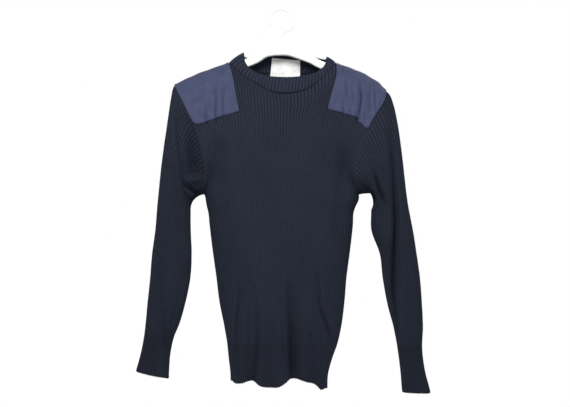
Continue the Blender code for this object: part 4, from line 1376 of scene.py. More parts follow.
            # the waistband's darker tint is painted shade
            wall = Wall(f"{word}_waistband", band, self.thickness, room, NAVY_TIGHT_SHADED,
                        self.rib_height, round_ends=(0.9, 0.0))
            enlist(wall.build(), f"waistband_{word}")


# ---- sleeves
@dataclass
class Sleeve:
    """One sleeve with its cuff, linked into the armhole and closed under the arm."""

    side: Side
    body: Body
    sections: Table
    cuff_seam_z: float
    cuff_end_z: Pair     # body side, outer side
    leave: Table                        # share up the armhole, sideways, down
    pull: Table                         # share up the armhole, length of that start
    folds: tuple[Fold, ...]
    creases: tuple[Crease, ...]
    end_pull: Table                     # share up the armhole, length, lean to the body
    ribs: int = 64
    squareness: float = 2.2
    top_ring_z: float = -410.0
    thickness: float = 2.0
    rib_height: float = 1.4
    rib_rest: float = 0.6
    underarm_gap: float = 4.0
    underarm_reach: float = 0.08
    cap_rows: int = 46
    tube_rows: int = 56
    cuff_rows: int = 20
    spacing: Pair = (38.0, 42.0)     # half sizes of the oval that spaces the ribs
    ring_step: float = 30.0      # how far down the tube's own direction is read
    cap_pace: float = 1.12
    fade_rows: float = 5.0       # rows below the armhole in which ribs and folds set in
    edge_ribs: float = 0.4       # share of the rib height at the armhole
    seam_press: float = 0.5      # share of it that the seam under the arm presses out
    seam_reach: float = 0.25
    squarely: float = 0.55       # how far cloth faces a crease that shows in full
    slack: float = 0.8
    end_wave: float = 0.8
    # heights over which the ribs open from rest to full, and how far they take for it
    open_from: float = -420.0
    open_over: float = 220.0
    # share round half the armhole against the share up the body
    marks: Table = (
        (0, 0), (0.132, 0.06), (0.263, 0.18), (0.395, 0.36), (0.553, 0.55), (0.684, 0.72),
        (0.816, 0.87), (0.895, 0.94), (0.947, 0.98), (1, 1),
    )
    tube: Surface | None = None
    cuff: Surface | None = None

    def ring(self, z: Array, share: Array) -> Array:
        """Points round the sleeve.

        Args:
            z: Their height.
            share: How far round they are, from the body side over the front.

        Returns:
            The points, where the two broadcast.
        """
        across, deep = even_oval(share, *self.spacing, self.squareness, TURN)
        z = z + np.zeros_like(across)
        inner, outer, half = (read(self.sections, z, column) for column in (1, 2, 3))
        x = (inner + outer) / 2 + (inner - outer) / 2 * across
        return np.stack([x, -half * deep, z], axis=-1)

    def armhole(self, share: Array) -> Arrays:
        """Points round the armhole.

        Args:
            share: How far round they are.

        Returns:
            The points, and the share up the body at each.
        """
        up = straight(self.marks, 1 - np.abs(1 - 2 * share))
        front, back = (self.body.edge(face, self.side, up) for face in Face)
        return np.where((share <= 0.5)[:, None], front, back), up

    def shape(self) -> None:
        """Works out the grids of the sleeve and its cuff."""
        rib = rib_places(self.ribs, True)
        share = rib / self.ribs
        start, _ = self.armhole(share)
        ring, below = (
            self.ring(np.full(len(share), self.top_ring_z - step), share)
            for step in (0.0, self.ring_step)
        )
        distance = np.linalg.norm(ring - start, axis=1, keepdims=True)
        upward = 1 - np.abs(1 - 2 * share)
        sideways, down = read(self.leave, upward, 1), read(self.leave, upward, 2)
        leave = unit(np.stack([self.side.value * sideways, 0 * down, -down], axis=1))
        leave = leave * distance * straight(self.pull, upward)[:, None]
        lean = read(self.end_pull, upward, 2)[:, None] * np.array([-self.side.value, 0.0, 0.0])
        arrive = unit(unit(below - ring) + lean) * distance * read(self.end_pull, upward)[:, None]
        s = (np.linspace(0.0, 1.0, self.cap_rows) ** self.cap_pace)[:, None, None]
        cap = (
            start * (1 + 2 * s) * (1 - s) ** 2 + ring * s * s * (3 - 2 * s)
            + leave * s * (1 - s) ** 2 - arrive * s * s * (1 - s)
        )
        z = np.linspace(self.top_ring_z, self.cuff_seam_z, self.tube_rows)[1:, None]
        grid = np.concatenate([cap, self.ring(z, share[None, :])])
        self.tube = Surface(grid, rib, course_counts(grid[:, len(share) // 2]), True)
        self.tube.face_out()
        x, y, z = np.moveaxis(grid, -1, 0)
        inward = ripple(x + 2 * y, z, self.side.value) * self.slack
        for fold in self.folds:
            inward = inward + fold.inward(share[None, :], z)
        soon = ease(np.arange(len(grid)) / self.fade_rows)[:, None]
        self.tube.points = grid - self.tube.normals * (inward * soon)[..., None]
        self.press(self.tube, soon)
        self.shape_cuff(rib, share)
        self.join()

    def press(self, surface: Surface, share: Array | float) -> None:
        """Presses the creases straight back or forward into a surface of the sleeve.

        Args:
            surface: The tube or the cuff.
            share: How much of each crease its rows take.
        """
        grid = surface.points
        surface.face_out()
        for crease in self.creases:
            sign = crease.face.value
            facing = ease(surface.normals[..., 1] * sign / self.squarely) * share
            push = crease.inward(grid[..., 0], grid[..., 2]) * facing
            surface.points = surface.points - push[..., None] * [0.0, sign, 0.0]
        surface.face_out()

    def shape_cuff(self, rib: Array, share: Array) -> None:
        """Works out the cuff, from the sleeve's last ring to its free end.

        Args:
            rib: The rib count at each column.
            share: How far round each column is.
        """
        inner_z, outer_z = self.cuff_end_z
        tilt = (1 + np.cos(TURN * share)) / 2
        end_z = outer_z + (inner_z - outer_z) * tilt + self.end_wave * np.cos(TURN * rib)
        part = np.linspace(0.0, 1.0, self.cuff_rows)[:, None]
        grid = self.ring(self.cuff_seam_z + (end_z - self.cuff_seam_z) * part, share[None, :])
        self.cuff = Surface(grid, rib, course_counts(grid[:, 0]), True)
        self.press(self.cuff, 1.0)
        near = (1 - ease(part * 3))[..., None]
        grid = self.cuff.points
        self.cuff.points = grid + (self.tube.points[-1] - grid[0]) * near
        self.cuff.face_out()

    def join(self) -> None:
        """Gives the armhole and cuff seams one direction on both of their sides."""
        self.tube.normals[-1, :, 2] = 0.0
        self.tube.normals[-1] = self.cuff.normals[0] = unit(self.tube.normals[-1])
        share = self.tube.rib / self.ribs
        _, up = self.armhole(share)
        column = 0 if self.side is Side.LEFT else -1
        ring = self.tube.normals[0].copy()
        first = self.body.lower_rows
        for face, half in ((Face.FRONT, share <= 0.5), (Face.BACK, share >= 0.5)):
            order = np.argsort(up[half])
            edge = self.body.panels[face].normals[first:, column]
            for k in range(3):
                edge[:, k] += np.interp(self.body.ups, up[half][order], ring[half][order, k])
            edge[:] = unit(edge)
            for k in range(3):
                self.tube.normals[0, half, k] = np.interp(up[half], self.body.ups, edge[:, k])
        self.tube.normals[0] = unit(self.tube.normals[0])

    def build(self) -> None:
        """Makes the sleeve and the cuff."""
        word = self.side.name.lower()
        share = self.tube.rib / self.ribs
        off = np.minimum(share, 1 - share) / self.underarm_reach
        self.tube.draw_in(0, SEAM_GAP * (1 + self.underarm_gap * np.exp(-(off**2))))
        self.tube.draw_in(-1)
        self.cuff.draw_in(0)
        row = np.arange(self.tube.points.shape[0])[:, None]
        opened = ease((self.tube.points[..., 2] - self.open_from) / self.open_over)
        rest = self.rib_rest + (1 - self.rib_rest) * opened
        room = (self.edge_ribs + (1 - self.edge_ribs) * ease(row / self.fade_rows)) * rest
        seam = np.exp(-((off[None, :] / self.seam_reach) ** 2))
        room = room * (1 - self.seam_press * seam)
        wall = Wall(f"{word}_sleeve", self.tube, self.thickness, room, NAVY, self.rib_height)
        enlist(wall.build(), f"sleeve_{word}")
        room = np.full(self.cuff.points.shape[:2], self.rib_rest)
        # the cuff's darker tint is painted shade
        wall = Wall(f"{word}_cuff", self.cuff, self.thickness, room, NAVY_TIGHT_SHADED,
                    self.rib_height, round_ends=(0.0, 0.9))
        enlist(wall.build(), f"cuff_{word}")


def left_sleeve(body: Body) -> Sleeve:
    """The sleeve at the viewer's left, which hangs close and a little forward.

    Args:
        body: What it is linked to.

    Returns:
        The sleeve.
    """
    return Sleeve(
        Side.LEFT, body,
        sections=(
            (-410, -187, -252.5, 50), (-450, -187, -255.5, 48),
            (-500, -185.5, -262, 44), (-550, -188, -266.5, 40),
            (-600, -197.5, -272, 36), (-650, -212.5, -276.5, 32),
            (-666, -219.5, -278.5, 30), (-705, -228.5, -286, 27),
            (-745, -231.5, -297, 28),
        ),
        cuff_seam_z=-666, cuff_end_z=(-753.5, -738.5),
        leave=((0, 1, 0.05), (0.2, 1, 0.18), (0.5, 0.95, 0.3), (0.8, 0.62, 0.78),
               (1, 0.34, 0.94)),
        pull=((0, 1.15), (0.15, 0.7), (0.5, 0.5), (0.8, 0.4), (1, 0.25)),
        end_pull=((0, 1.15, 0), (0.15, 1.3, 0), (0.5, 1.3, 0), (0.8, 0.8, 0),
                  (1, 0.3, 0)),
        folds=(
            Fold((0.816, 0.79), (-240, -600), 0.04, (9, 9)),
            Fold((0.12, 0.17), (-520, -640), 0.026, (1, 2.6)),
            Fold((0.66, 0.64), (-300, -560), 0.035, (2, 3)),
            Fold((0.92, 0.88), (-400, -620), 0.03, (2, 3.5)),
        ),
        creases=(
            Crease(((-198, -200, 0), (-192, -245, 12), (-186, -285, 26), (-181, -318, 34),
                    (-179, -334, 26), (-178, -348, 4)), (13, 20), lip=0.05),
            Crease(((-214, -216, 3), (-213, -245, 9), (-210, -290, 14), (-205, -320, 15),
                    (-202, -345, 13), (-199, -370, 12), (-195, -400, 9), (-189, -445, 3)),
                   (3.6, 11), lip=0.1),
            Crease(((-192, -352, -3), (-183, -350, -8), (-172, -346, -5)), (7, 7)),
            Crease(((-194, -358, 2), (-188, -364, 7), (-179, -371, 10), (-171, -376, 7)),
                   (5, 5)),
            Crease(((-243, -500, 0.5), (-243, -560, 4), (-240, -640, 5.5), (-237, -760, 4)),
                   (8, 9)),
            Crease(((-240, -300, 1), (-214, -420, 3), (-208, -560, 4), (-222, -650, 2)),
                   (9, 9), Face.BACK),
            Crease(((-176, -330, 6), (-190, -368, 11), (-204, -392, 3)), (6, 6), Face.BACK),
        ),
    )


def right_sleeve(body: Body) -> Sleeve:
    """The sleeve at the viewer's right, which hangs wider with one long deep fold.

    Args:
        body: What it is linked to.

    Returns:
        The sleeve.
    """
    return Sleeve(
        Side.RIGHT, body,
        sections=(
            (-410, 186, 260.5, 50), (-450, 187, 268, 48),
            (-500, 205, 275.5, 46), (-550, 210.5, 283, 43),
            (-600, 219, 287.5, 38), (-650, 232, 289.5, 34),
            (-690, 240, 287.5, 31), (-735, 246, 292.5, 30),
            (-782, 250, 304.5, 29),
        ),
        cuff_seam_z=-690, cuff_end_z=(-781, -783),
        leave=((0, 1, -0.07), (0.08, 1, 0.05), (0.16, 0.92, 0.3), (0.3, 0.68, 0.73),
               (0.5, 0.53, 0.85), (0.8, 0.55, 0.83), (1, 0.87, 0.5)),
        pull=((0, 3), (0.1, 2.2), (0.2, 1.3), (0.35, 0.9), (0.5, 0.7), (0.8, 0.5),
              (1, 0.35)),
        end_pull=((0, 3.3, 0.5), (0.1, 2.6, 0.35), (0.2, 1.9, 0.15), (0.35, 1.3, 0),
                  (0.5, 1.1, 0), (1, 0.8, 0)),
        folds=(
            Fold((0.79, 0.816), (-240, -620), 0.04, (11, 11)),
            Fold((0.14, 0.16), (-500, -660), 0.028, (1, 2.6)),
            Fold((0.66, 0.68), (-300, -580), 0.035, (2, 3)),
            Fold((0.92, 0.90), (-420, -640), 0.03, (2, 3.5)),
        ),
        creases=(
            Crease(((216, -184, 1), (219, -207, 5), (221.5, -245, 9), (224, -282, 12),
                    (227, -327, 16), (231, -393, 19), (233.5, -450, 21), (234, -545, 20),
                    (235, -590, 15), (238, -635, 9), (243, -668, 3)), (8, 6.5), lip=0.12),
            Crease(((189, -333, 2), (193, -348, 9), (199, -365, 13), (207, -384, 12),
                    (214, -402, 4)), (5, 5)),
            Crease(((224, -455, 2), (226, -500, 6), (228, -560, 7), (230, -605, 2)), (8, 8)),
            Crease(((262, -420, 0.5), (267, -520, 2.5), (270, -640, 3)), (11, 11)),
            Crease(((236, -300, 2), (226, -420, 4), (232, -560, 4), (246, -660, 2)),
                   (9, 9), Face.BACK),
            Crease(((180, -330, 5), (196, -368, 12), (210, -398, 3)), (6, 6), Face.BACK),
        ),
    )


# ---- neck
@dataclass
class Neckband:
    """The folded rib band that is linked round the neckline."""

    body: Body
    ribs: int = 66
    rows: int = 15
    centre_x: float = 8.5
    half_width: float = 85.5
    side_z: Pair = (-88.5, -97.0)
    front_z: float = -141.5
    back_z: float = -88.0
    back_dip: float = 9.0
    front_depth: float = 42.0
    back_depth: float = 28.0
    squareness: float = 2.4
    bulge: float = 3.2
    uneven: float = 0.7
    thickness: float = 2.9
    rib_height: float = 1.05
    band: Surface | None = None

    def shape(self) -> None:
        """Works out the band from the neckline up to its folded edge."""
        rib = rib_places(self.ribs, True)
        share = rib / self.ribs
        in_front = share < 0.5
        along = np.where(in_front, share * 2, 2 - share * 2)
        b = self.body
        across_body = b.neck_from + (b.neck_to - b.neck_from) * along
        front, back = (b.upper(face, np.ones(len(share)), across_body) for face in Face)
        base = np.where(in_front[:, None], front, back)
        across, deep = even_oval(along, self.half_width, 40.0, self.squareness, math.pi)
        deep = np.abs(deep)
        sides = self.side_z[0] + (self.side_z[1] - self.side_z[0]) * along
        middle = np.where(in_front, self.front_z, self.back_z)
        depth = np.where(in_front, -self.front_depth, self.back_depth)
        top = np.stack([
            self.centre_x - self.half_width * across, depth * deep,
            sides + (middle - sides) * deep - ~in_front * self.back_dip * 4 * deep * (1 - deep),
        ], axis=1)
        outward = (base + top) / 2 - np.array([self.centre_x, 0.0, 0.0])
        outward[:, 2] = 0.0
        s = np.linspace(0.0, 1.0, self.rows)[:, None, None]
        grid = base + (top - base) * s + unit(outward) * self.bulge * np.sin(math.pi * s) ** 0.6
        uneven = self.uneven * np.sin(TURN * share * 5 + 0.6) * np.sin(math.pi * s[..., 0])
        grid = grid + unit(outward) * uneven[..., None]
        self.band = Surface(grid, rib, course_counts(grid[:, len(rib) // 4]), True)
        self.band.face_out()

    def build(self) -> None:
        """Makes the band."""
        half = len(self.band.rib) // 2
        in_front = np.arange(len(self.band.rib)) < half
        self.band.draw_in(0, np.where(in_front, self.body.groove_gap, SEAM_GAP))
        self.band.sink((0, 1), self.body.groove, slice(3, half - 2))
        room = np.ones(self.band.points.shape[:2])
        room[0], room[-1] = 0.6, 0.85
        # the band's lighter tint is painted light
        wall = Wall("neck_rib_band", self.band, self.thickness, room, NAVY_BAND_LIT,
                    self.rib_height, raised_inside=0.7, round_ends=(0.0, 1.4), steps=(1, 3))
        enlist(wall.build(), "neckband")


@dataclass
class NeckLabel:
    """A bare woven tab, sewn inside the back of the neck along its upper edge."""

    neckband: Neckband
    corner: Pair = (-18.5, -96.4)
    width: float = 58.0
    height: float = 39.0
    tilt: float = math.radians(5.0)
    lean: float = 0.1
    off_band: float = 2.3
    thickness: float = 0.9
    hem: float = 3.0
    curl: float = 0.5            # how far the free edge curls, and the tab waves
    wave: float = 0.35
    sewn: Pair = (34.5, 1.0)     # row of the stitches, and their inset
    surface: Surface | None = None

    def shape(self) -> None:
        """Works out the tab on the inside of the band."""
        band = self.neckband.band
        behind = band.points[:, band.points.shape[1] // 2:]
        low, top = behind[0], behind[-1]
        u = np.linspace(0.0, self.width, 59)[None, :]
        drop = np.linspace(self.height, 0.0, 37)[:, None]
        x = self.corner[0] + u * math.cos(self.tilt) - drop * self.lean * (1 - u / self.width)
        z = self.corner[1] - drop - u * math.sin(self.tilt)
        found = []
        for line in (low, top):
            order = np.argsort(line[:, 0])
            found.append([np.interp(x, line[order, 0], line[order, k]) for k in (1, 2)])
        (low_y, low_z), (top_y, top_z) = found
        y = top_y + (low_y - top_y) * (top_z - z) / (top_z - low_z) - self.off_band
        curl = (drop / self.height) ** 2 * np.sin(u / 9.0)
        y = y + self.curl * curl - self.wave * np.sin(u / 17.0 + drop / 13.0)
        self.surface = Surface(np.stack([x, y, z], axis=-1), u[0], drop[:, 0], False)
        self.surface.normals = np.zeros_like(self.surface.points)
        self.surface.normals[..., 1] = -1.0

    def build(self) -> None:
        """Makes the tab with folded ends, and its stitches."""
        s = self.surface
        folded = np.minimum(s.rib, self.width - s.rib) < self.hem
        folded = np.broadcast_to(folded * 1.0, s.points.shape[:2])
        wall = Wall("bare_neck_label", s, self.thickness, folded, LABEL, raised_inside=0.0,
                    round_ends=(0.2, 0.2), steps=(1, 1), unevenness=0.06)
        s.points += s.normals * (folded * 0.22)[..., None]
        enlist(wall.build(), "neck_label")
        row, inset = self.sewn
        column = np.linspace(inset, len(s.rib) - 1 - inset, 57)
        line, out = s.at(np.full(57, row), column)
        sew("label_stitches", [(line + out * self.thickness / 2, out)], LABEL_THREAD,
            (2.4, 1.9, 0.42))


# ---- shoulder patches
@dataclass
class ShoulderPatch:
    """A woven patch sewn over the shoulder, from the front panel to the back one."""

    side: Side
    body: Body
    inset: float = 0.15          # ribs between the patch and the edges of the panel
    thickness: float = 1.2
    above: float = 2.9           # middle of the patch over the middle of the knit
    columns: int = 76
    rows: int = 60
    hem: float = 5.0
    hem_rise: float = 0.30       # how far the turned hem stands out
    groove: float = 0.35         # how deep the row of stitches is drawn in
    groove_in: float = 1.2       # from the hem's inner edge out to that row
    corner_width: float = 0.03   # share of the width in which a corner is rounded
    corner_lift: float = 0.005
    wide: float = 112.0
    grid: Surface | None = None

    def shape(self) -> None:
        """Works out the patch on the two creased panels, with its turned edge."""
        b = self.body
        is_left = self.side is Side.LEFT
        across = np.linspace(0.0, 1.0, self.columns)
        ribs_wide = b.ribs * (b.neck_from if is_left else 1 - b.neck_to)
        share = (self.inset + (ribs_wide - 2 * self.inset) * across) / b.ribs
        share = share if is_left else 1 - share
        corners = sum(ease(1 - off / self.corner_width) for off in (across, 1 - across))
        edge = b.left_patch_edge if is_left else b.right_patch_edge
        lowest = straight(edge, across) + self.corner_lift * corners
        rib = b.panels[Face.FRONT].rib
        column = np.interp(share * b.ribs, rib, np.arange(len(rib)))
        part = np.linspace(0.0, 1.0, self.rows) ** 0.8
        up = lowest[None, :] + (1 - lowest[None, :]) * part[:, None]
        taken = []
        for face, take in (
            (Face.FRONT, slice(None)), (Face.BACK, slice(self.rows - 2, None, -1)),
        ):
            place = b.panels[face].at(b.row_at(up), np.broadcast_to(column, up.shape))
            taken.append([each[take] for each in place])
        grid, out = (np.concatenate(both) for both in zip(*taken))
        grid[self.rows - 1, :, 1] = 0.0
        length = course_counts(grid[:, self.columns // 2]) * COURSE
        wide = np.linspace(0.0, self.wide, self.columns)
        inset = np.minimum(
            np.minimum(wide, wide[-1] - wide)[None, :],
            np.minimum(length, length[-1] - length)[:, None],
        )
        turned = self.hem_rise * (1 - ease(inset - self.hem))
        groove = -self.groove * np.exp(-(((inset - self.hem + self.groove_in) / 0.8) ** 2))
        gathers = self.gather(across[None, :], length[:, None], inset)
        move = self.above + turned + groove + gathers
        self.grid = Surface(grid + out * move[..., None], wide, length, False, out)

    def gather(self, across: Array, along: Array, inset: Array) -> Array:
        """The small puckers that the sewn edge draws into the cloth.

        Args:
            across: Share of the way across the patch.
            along: Millimetres from its front edge.
            inset: Millimetres in from its nearest edge.

        Returns:
            How far each point stands out.
        """
        near = np.exp(-inset / 9.0) * ease(inset / 2.5)
        wave = np.sin(across * 83.0) * 0.5 + np.sin(across * 47.0 + 1.0 + along / 31.0) * 0.5
        other = np.sin(along / 2.6) * 0.5 + np.sin(along / 4.7 + 2.0 + across * 5.0) * 0.5
        slow = np.sin(across * 21.0 + along / 27.0) * 0.35 + np.sin(along / 19.0 - across * 9) * 0.3
        return near * 0.32 * (wave + other) + slow * ease(inset / 12.0)

    def build(self) -> None:
        """Makes the patch and the stitches along its edge."""
        word = self.side.name.lower()
        s = self.grid
        s.face_out(s.points - s.normals * 50)
        wall = Wall(f"{word}_shoulder_patch", s, self.thickness, np.zeros(s.points.shape[:2]),
                    PATCH, raised_inside=0.0, round_ends=(0.5, 0.5), steps=(2, 2),
                    unevenness=0.12)
        enlist(wall.build(), f"shoulder_patch_{word}")
        step = self.hem - self.groove_in
        rows = np.interp([step, s.course[-1] - step], s.course, np.arange(len(s.course)))
        first = step / s.rib[-1] * (self.columns - 1)
        across = np.linspace(first, self.columns - 1 - first, 60)
        along = np.linspace(*rows, 120)
        row = np.concatenate([np.full(60, rows[0]), along, np.full(60, rows[1]), along[::-1]])
        column = np.concatenate([
            across, np.full(120, across[-1]), across[::-1], np.full(120, across[0]),
        ])
        line, out = s.at(row, column)
        sew(f"{word}_patch_stitches", [(line + out * (self.thickness / 2 + 0.05), out)],
            PATCH_THREAD, (3.1, 2.5, 0.55))


# ---- sewing
def sew(
    name: str,
    lines: list[Arrays],
    finish: ThreadFinish,
    sizes: tuple[float, float, float],
    slants: tuple[float, ...] = (0.0,),
    scatter: float = 0.08,
    closed: bool = False,
) -> None:
    """Sews stitches along lines on the cloth.

    Args:
        name: The piece's name.
        lines: Points and outward directions of each line.
        finish: The thread.
        sizes: Pitch, length and thickness of the stitches.
        slants: The turn of the stitches in each pass along the lines.
        scatter: How unevenly they are turned.
        closed: Whether each line runs round to its start.
    """
    tree = row_of_stitches(finish.material(name))
    points, outs, edges = [], [], []
    for line, out in lines:
        numbers = np.arange(len(line)) + sum(len(p) for p in points)
        points.append(line)
        outs.append(out)
        edges += list(zip(numbers[:-1].tolist(), numbers[1:].tolist()))
        if closed:
            edges.append((int(numbers[-1]), int(numbers[0])))
    passes = []
    for turn, slant in enumerate(slants):
        mesh = bpy.data.meshes.new(name)
        mesh.from_pydata((np.concatenate(points) * MM).tolist(), edges, [])
        made = mesh.attributes.new("out", "FLOAT_VECTOR", "POINT")
        made.data.foreach_set("vector", np.concatenate(outs).ravel())
        passes.append(put(name, mesh))
        values = {label: size * MM for label, size in zip(("Pitch", "Length", "Thickness"), sizes)}
        values |= {"Slant": slant, "Scatter": scatter, "Seed": SEED + turn}
        grow(passes[-1], tree, values)
    piece = join_pieces(passes)
    piece.name = name
    piece.data.shade_smooth()
    enlist(piece)


def join_pieces(items: list[Item]) -> Item:
    """Makes one object of several that share a material.

    Args:
        items: The objects, of which the first is kept.

    Returns:
        That one, with the meshes of all.
    """
    shape = bmesh.new()
    for item in items:
        shape.from_mesh(item.data)
    shape.to_mesh(items[0].data)
    shape.free()
    for item in items[1:]:
        discard(item)
    return items[0]


@dataclass
class Seams:
    """The linking yarn that shows in the grooves of the seams."""

    body: Body
    sleeves: tuple[Sleeve, Sleeve]
    neckband: Neckband
    sizes: tuple[float, float, float] = (2.9, 3.0, 0.9)
    # how far the yarn lies above the middle of the cloth
    armhole_lift: float = 1.0
    neckline_lift: float = -0.5
    side_lift: float = 0.95
    lines: dict[str, list] = field(default_factory=dict)

    def shape(self) -> None:
        """Keeps the seam lines before the pieces are drawn back from them."""
        whole = slice(None)
        for sleeve in self.sleeves:
            line = sleeve.tube.seam(0, whole, self.armhole_lift)
            self.lines[f"{sleeve.side.name.lower()}_armhole"] = [line]
        self.lines["neckline"] = [self.neckband.band.seam(0, whole, self.neckline_lift)]
        panel, band = self.body.panels[Face.FRONT], self.body.bands[Face.FRONT]
        parts = ((panel, slice(0, self.body.lower_rows + 1)), (band, whole))
        self.lines["side_seam"] = [
            s.seam(rows, column, self.side_lift) for column in (0, -1) for s, rows in parts
        ]

    def build(self) -> None:
        """Makes the linking of each seam."""
        for name, lines in self.lines.items():
            slot = "neckband_knit" if name == "neckline" else "front_panel_knit"
            sew(f"{name}_linking", lines, NAVY_THREAD, self.sizes, slants=(0.5, -0.5),
                scatter=0.12, closed=name != "side_seam")


# ---- hanger
def round_line(points: Array, steps: int, closed: bool) -> Array:
    """Draws a smooth line through points.

    Args:
        points: The points.
        steps: How many steps it takes between each two.
        closed: Whether it runs round to its start.

    Returns:
        The points of the line.
    """
    before, after = points[-1:], points[:2]
    if not closed:
        before = 2 * points[:1] - points[1:2]
        after = 2 * points[-1:] - points[-2:-1]
    held = np.concatenate([before, points, after])
    t = np.linspace(0.0, 1.0, steps, endpoint=False)[:, None]
    line = np.concatenate([
        0.5 * (2 * b + (c - a) * t + (2 * a - 5 * b + 4 * c - d) * t**2
               + (3 * b - a - 3 * c + d) * t**3)
        for a, b, c, d in zip(held[:-3], held[1:-2], held[2:-1], held[3:])
    ])
    return line if closed else np.append(line, points[-1:], axis=0)


def tube_piece(name: str, rings: Array) -> Item:
    """Makes a closed tube.

    Args:
        name: Its name.
        rings: Rings of points along it, in millimetres.

    Returns:
        The piece.
    """
    numbers = np.arange(rings[..., 0].size).reshape(rings.shape[:2])
    faces = quads(numbers, True) + [numbers[0].tolist(), numbers[-1].tolist()[::-1]]
    return closed_piece(name, rings.reshape(-1, 3), faces)


@dataclass
class Hanger:
    """The white moulded hanger: two arms under the shoulders, a hub and an open hook."""

    body: Body
    arm_drop: float = 2.6
    arms: Table = (
        # x, drop more, depth, half thickness
        (-208.6, 5.5, 1.6, 1), (-207, 2.6, 7, 3.4), (-203, 0.6, 13, 5),
        (-190.2, 0, 15.5, 5.5), (-172, 0, 16.5, 6), (-154.8, 0, 17, 6),
        (-130, 0, 17.5, 6), (-105.6, 0.4, 17.5, 6),
        (111.7, 0.4, 17, 6), (128, 0, 17, 6), (144.7, 0, 16.5, 6),
        (172, 0, 16, 6), (190, 0, 15, 5.5), (199.3, 0.6, 13, 5),
        (203, 2.6, 7, 3.4), (204.6, 5.5, 1.6, 1),
    )
    hub: Table = (
        # x, top, bottom, half thickness
        (-84, -104.5, -123, 6), (-62.3, -93.5, -115, 6.5), (-51.1, -79, -110.5, 7),
        (-42.9, -66.5, -106, 7), (-35, -60, -100.2, 7), (-28.6, -60, -96.8, 7),
        (-18.4, -60, -94.5, 7), (-2, -60, -93.4, 7), (10.2, -60, -93.6, 7),
        (18.4, -60, -95.1, 7), (28.6, -60, -98.4, 7), (38.9, -66, -102.1, 7),
        (49.1, -80, -105.8, 7), (59.3, -91.5, -109.7, 6.5), (71.6, -98.5, -116.5, 6.3),
        (86, -105.5, -123, 6),
    )
    ring: Table = (
        # share of the half thickness, share of the height down
        (0.30, 0.00), (0.75, 0.05), (1.00, 0.20), (1.00, 0.50), (1.00, 0.82), (0.72, 0.97),
        (0, 1.00), (-0.72, 0.97), (-1.00, 0.82), (-1.00, 0.50), (-1.00, 0.20),
        (-0.75, 0.05), (-0.30, 0.00),
    )
    rod: float = 3.0
    bend: float = 22.0
    neck_z: float = -56.0
    stem: Table = ((0, -12), (0, 0), (2.5, 7.5), (9.5, 13))     # from the neck: x, upwards
    turn: Pair = (math.radians(-43.0), math.radians(204.0))
    shoulder: float = 4.6          # radius of the boss at the hook's foot
    sharp: float = math.radians(50)

    def stations(self) -> Array:
        """Spaces the hanger's sections closely.

        Returns:
            x, top, bottom and half thickness at each place along it.
        """
        rows = []
        for x, drop, depth, half in self.arms:
            top = float(straight(self.body.shoulder_line, x)) - self.arm_drop - drop
            rows.append((x, top, top - depth, half))
        held = tuple(sorted([*rows, *self.hub]))
        xs = [row[0] for row in held]
        spaced = [np.linspace(a, b, 7)[:-1] for a, b in zip(xs[:-1], xs[1:])]
        fine = np.unique(np.concatenate([*spaced, xs[-1:]]))
        return np.stack([fine] + [read(held, fine, k) for k in (1, 2, 3)], axis=1)

    def hook_rings(self) -> Array:
        """Works out the hook, from its foot in the hub to its round tip.

        Returns:
            The rings of points.
        """
        reach = self.bend + self.rod
        angles = np.linspace(*self.turn, 15)
        arc = [(reach * math.cos(a), -self.bend + reach * math.sin(a)) for a in angles]
        stem = [(x, self.neck_z + up) for x, up in self.stem]
        line = round_line(np.array([(x, 0.0, z) for x, z in stem + arc]), 6, False)
        along = unit(np.gradient(line, axis=0))
        length = course_counts(line) * COURSE
        left = np.minimum(length[-1] - length, self.rod)
        radius = np.sqrt(np.maximum(self.rod**2 - (self.rod - left) ** 2, 0.02))
        radius = radius + (self.shoulder - self.rod) * np.exp(-((length / 9.0) ** 4))
        turn = np.linspace(0.0, TURN, 20, endpoint=False)[:, None]
        side = np.array([0.0, 1.0, 0.0])
        around = np.cos(turn) * side + np.sin(turn) * np.cross(along, side)[:, None]
        return line[:, None] + around * radius[:, None, None]

    def build(self) -> None:
        """Makes the hanger in one piece with its hook."""
        ring = round_line(np.array([(a, b, 0.0) for a, b in self.ring]), 2, True)
        x, top, bottom, half = self.stations().T[..., None]
        rings = np.stack([
            x + 0 * ring[:, 0], half * ring[:, 0], top + (bottom - top) * ring[:, 1],
        ], axis=-1)
        piece = tube_piece("moulded_hanger", rings)
        hook = tube_piece("hook_form", self.hook_rings())
        fuse = piece.modifiers.new("hook", "BOOLEAN")
        fuse.operation, fuse.solver, fuse.object = "UNION", "EXACT", hook
        settle(piece)
        discard(hook)
        piece.data.materials.clear()
        piece.data.materials.append(PLASTIC.material("hanger"))
        piece.data.shade_smooth()
        piece.data.set_sharp_from_angle(angle=self.sharp)
        enlist(piece, "hanger")


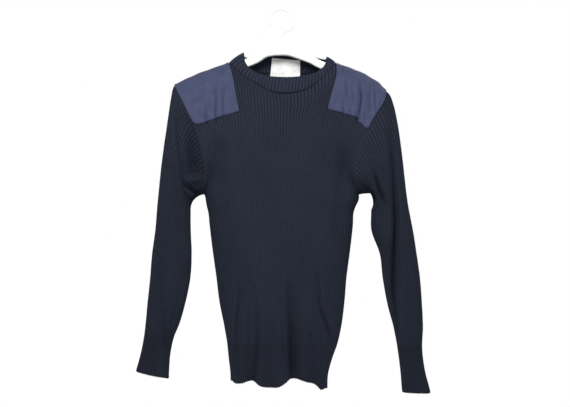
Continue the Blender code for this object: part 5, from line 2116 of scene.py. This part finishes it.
# ---- studio
@dataclass
class Studio:
    """A plain pale floor, soft lights and a camera straight in front."""

    view_width: float = 1.1685          # metres across the picture, at the cloth
    centre: Pair = (0.0082, -0.3965)
    distance: float = 3.4
    sensor: float = 36.0
    floor_z: float = -1.02
    floor_radius: float = 1.15
    air: float = 0.26                   # how bright the air is where the camera doesn't see it
    # name, x, y, z, size, power
    lamps: tuple[tuple, ...] = (
        ("front_light", -0.19, -1.15, 0.5, 0.5, 20.8),
        ("top_light", 0.1, -1.25, 0.95, 0.9, 3.0),
        ("left_light", -2.1, -1.3, 0.3, 1.4, 9.0),
        ("right_light", 2.2, -1.3, 0.2, 1.4, 19.8),
        ("left_rear_light", -2.2, 0.8, 0.0, 1.2, 9.0),
        ("right_rear_light", 2.2, 0.8, 0.0, 1.2, 9.0),
        ("back_light", 0.6, 1.95, 0.6, 0.9, 28.0),
    )

    def light(self) -> None:
        """Adds the square soft lights, which face the cloth."""
        for name, x, y, z, size, power in self.lamps:
            data = bpy.data.lights.new(name, "AREA")
            data.size, data.energy = size, power
            lamp = put(name, data)
            lamp.location = (x, y, z)
            right, ahead, up = self.centre[0] - x, -y, self.centre[1] - z
            lamp.rotation_euler = (
                math.atan2(math.hypot(right, ahead), -up), 0.0, math.atan2(-right, ahead)
            )

    def build(self) -> None:
        """Makes the floor, the lights, the air and the camera."""
        scene = bpy.context.scene
        scene.view_settings.view_transform = "Standard"
        rim = [(self.floor_radius * math.cos(a), self.floor_radius * math.sin(a), self.floor_z)
               for a in np.linspace(0.0, TURN, 96, endpoint=False)]
        mesh = bpy.data.meshes.new("studio_floor")
        mesh.from_pydata(rim, [], [list(range(len(rim)))])
        mesh.materials.append(FLOOR.material("floor"))
        put("studio_floor", mesh)
        self.light()
        scene.world = bpy.data.worlds.new("studio_air")
        scene.world.use_nodes = True
        g = Graph(scene.world.node_tree)
        g.tree.nodes.clear()
        seen = g.wire("ShaderNodeLightPath", {}, {}, "Is Camera Ray")
        air = g.wire("ShaderNodeBackground", {}, {
            "Color": (1.0, 1.0, 1.0, 1.0), "Strength": seen * (1.0 - self.air) + self.air,
        })
        g.add("ShaderNodeOutputWorld", {}, {"Surface": air})
        data = bpy.data.cameras.new("camera")
        data.sensor_width = self.sensor
        data.lens = self.sensor * self.distance / self.view_width
        scene.camera = put("camera", data)
        scene.camera.location = (self.centre[0], -self.distance, self.centre[1])
        scene.camera.rotation_euler = (math.pi / 2, 0.0, 0.0)


# ---- the whole
def main() -> None:
    """Builds every piece in order and reports it."""
    logging.basicConfig(level=logging.INFO, format="%(name)s %(message)s")
    Studio().build()
    body = Body()
    body.shape()
    sleeves = (left_sleeve(body), right_sleeve(body))
    for sleeve in sleeves:
        sleeve.shape()
    neckband = Neckband(body)
    neckband.shape()
    label = NeckLabel(neckband)
    label.shape()
    patches = [ShoulderPatch(side, body) for side in Side]
    for patch in patches:
        patch.shape()
    seams = Seams(body, sleeves, neckband)
    seams.shape()
    for part in (Hanger(body), body, *sleeves, neckband, label, *patches, seams):
        part.build()


if __name__ == "__main__":
    main()
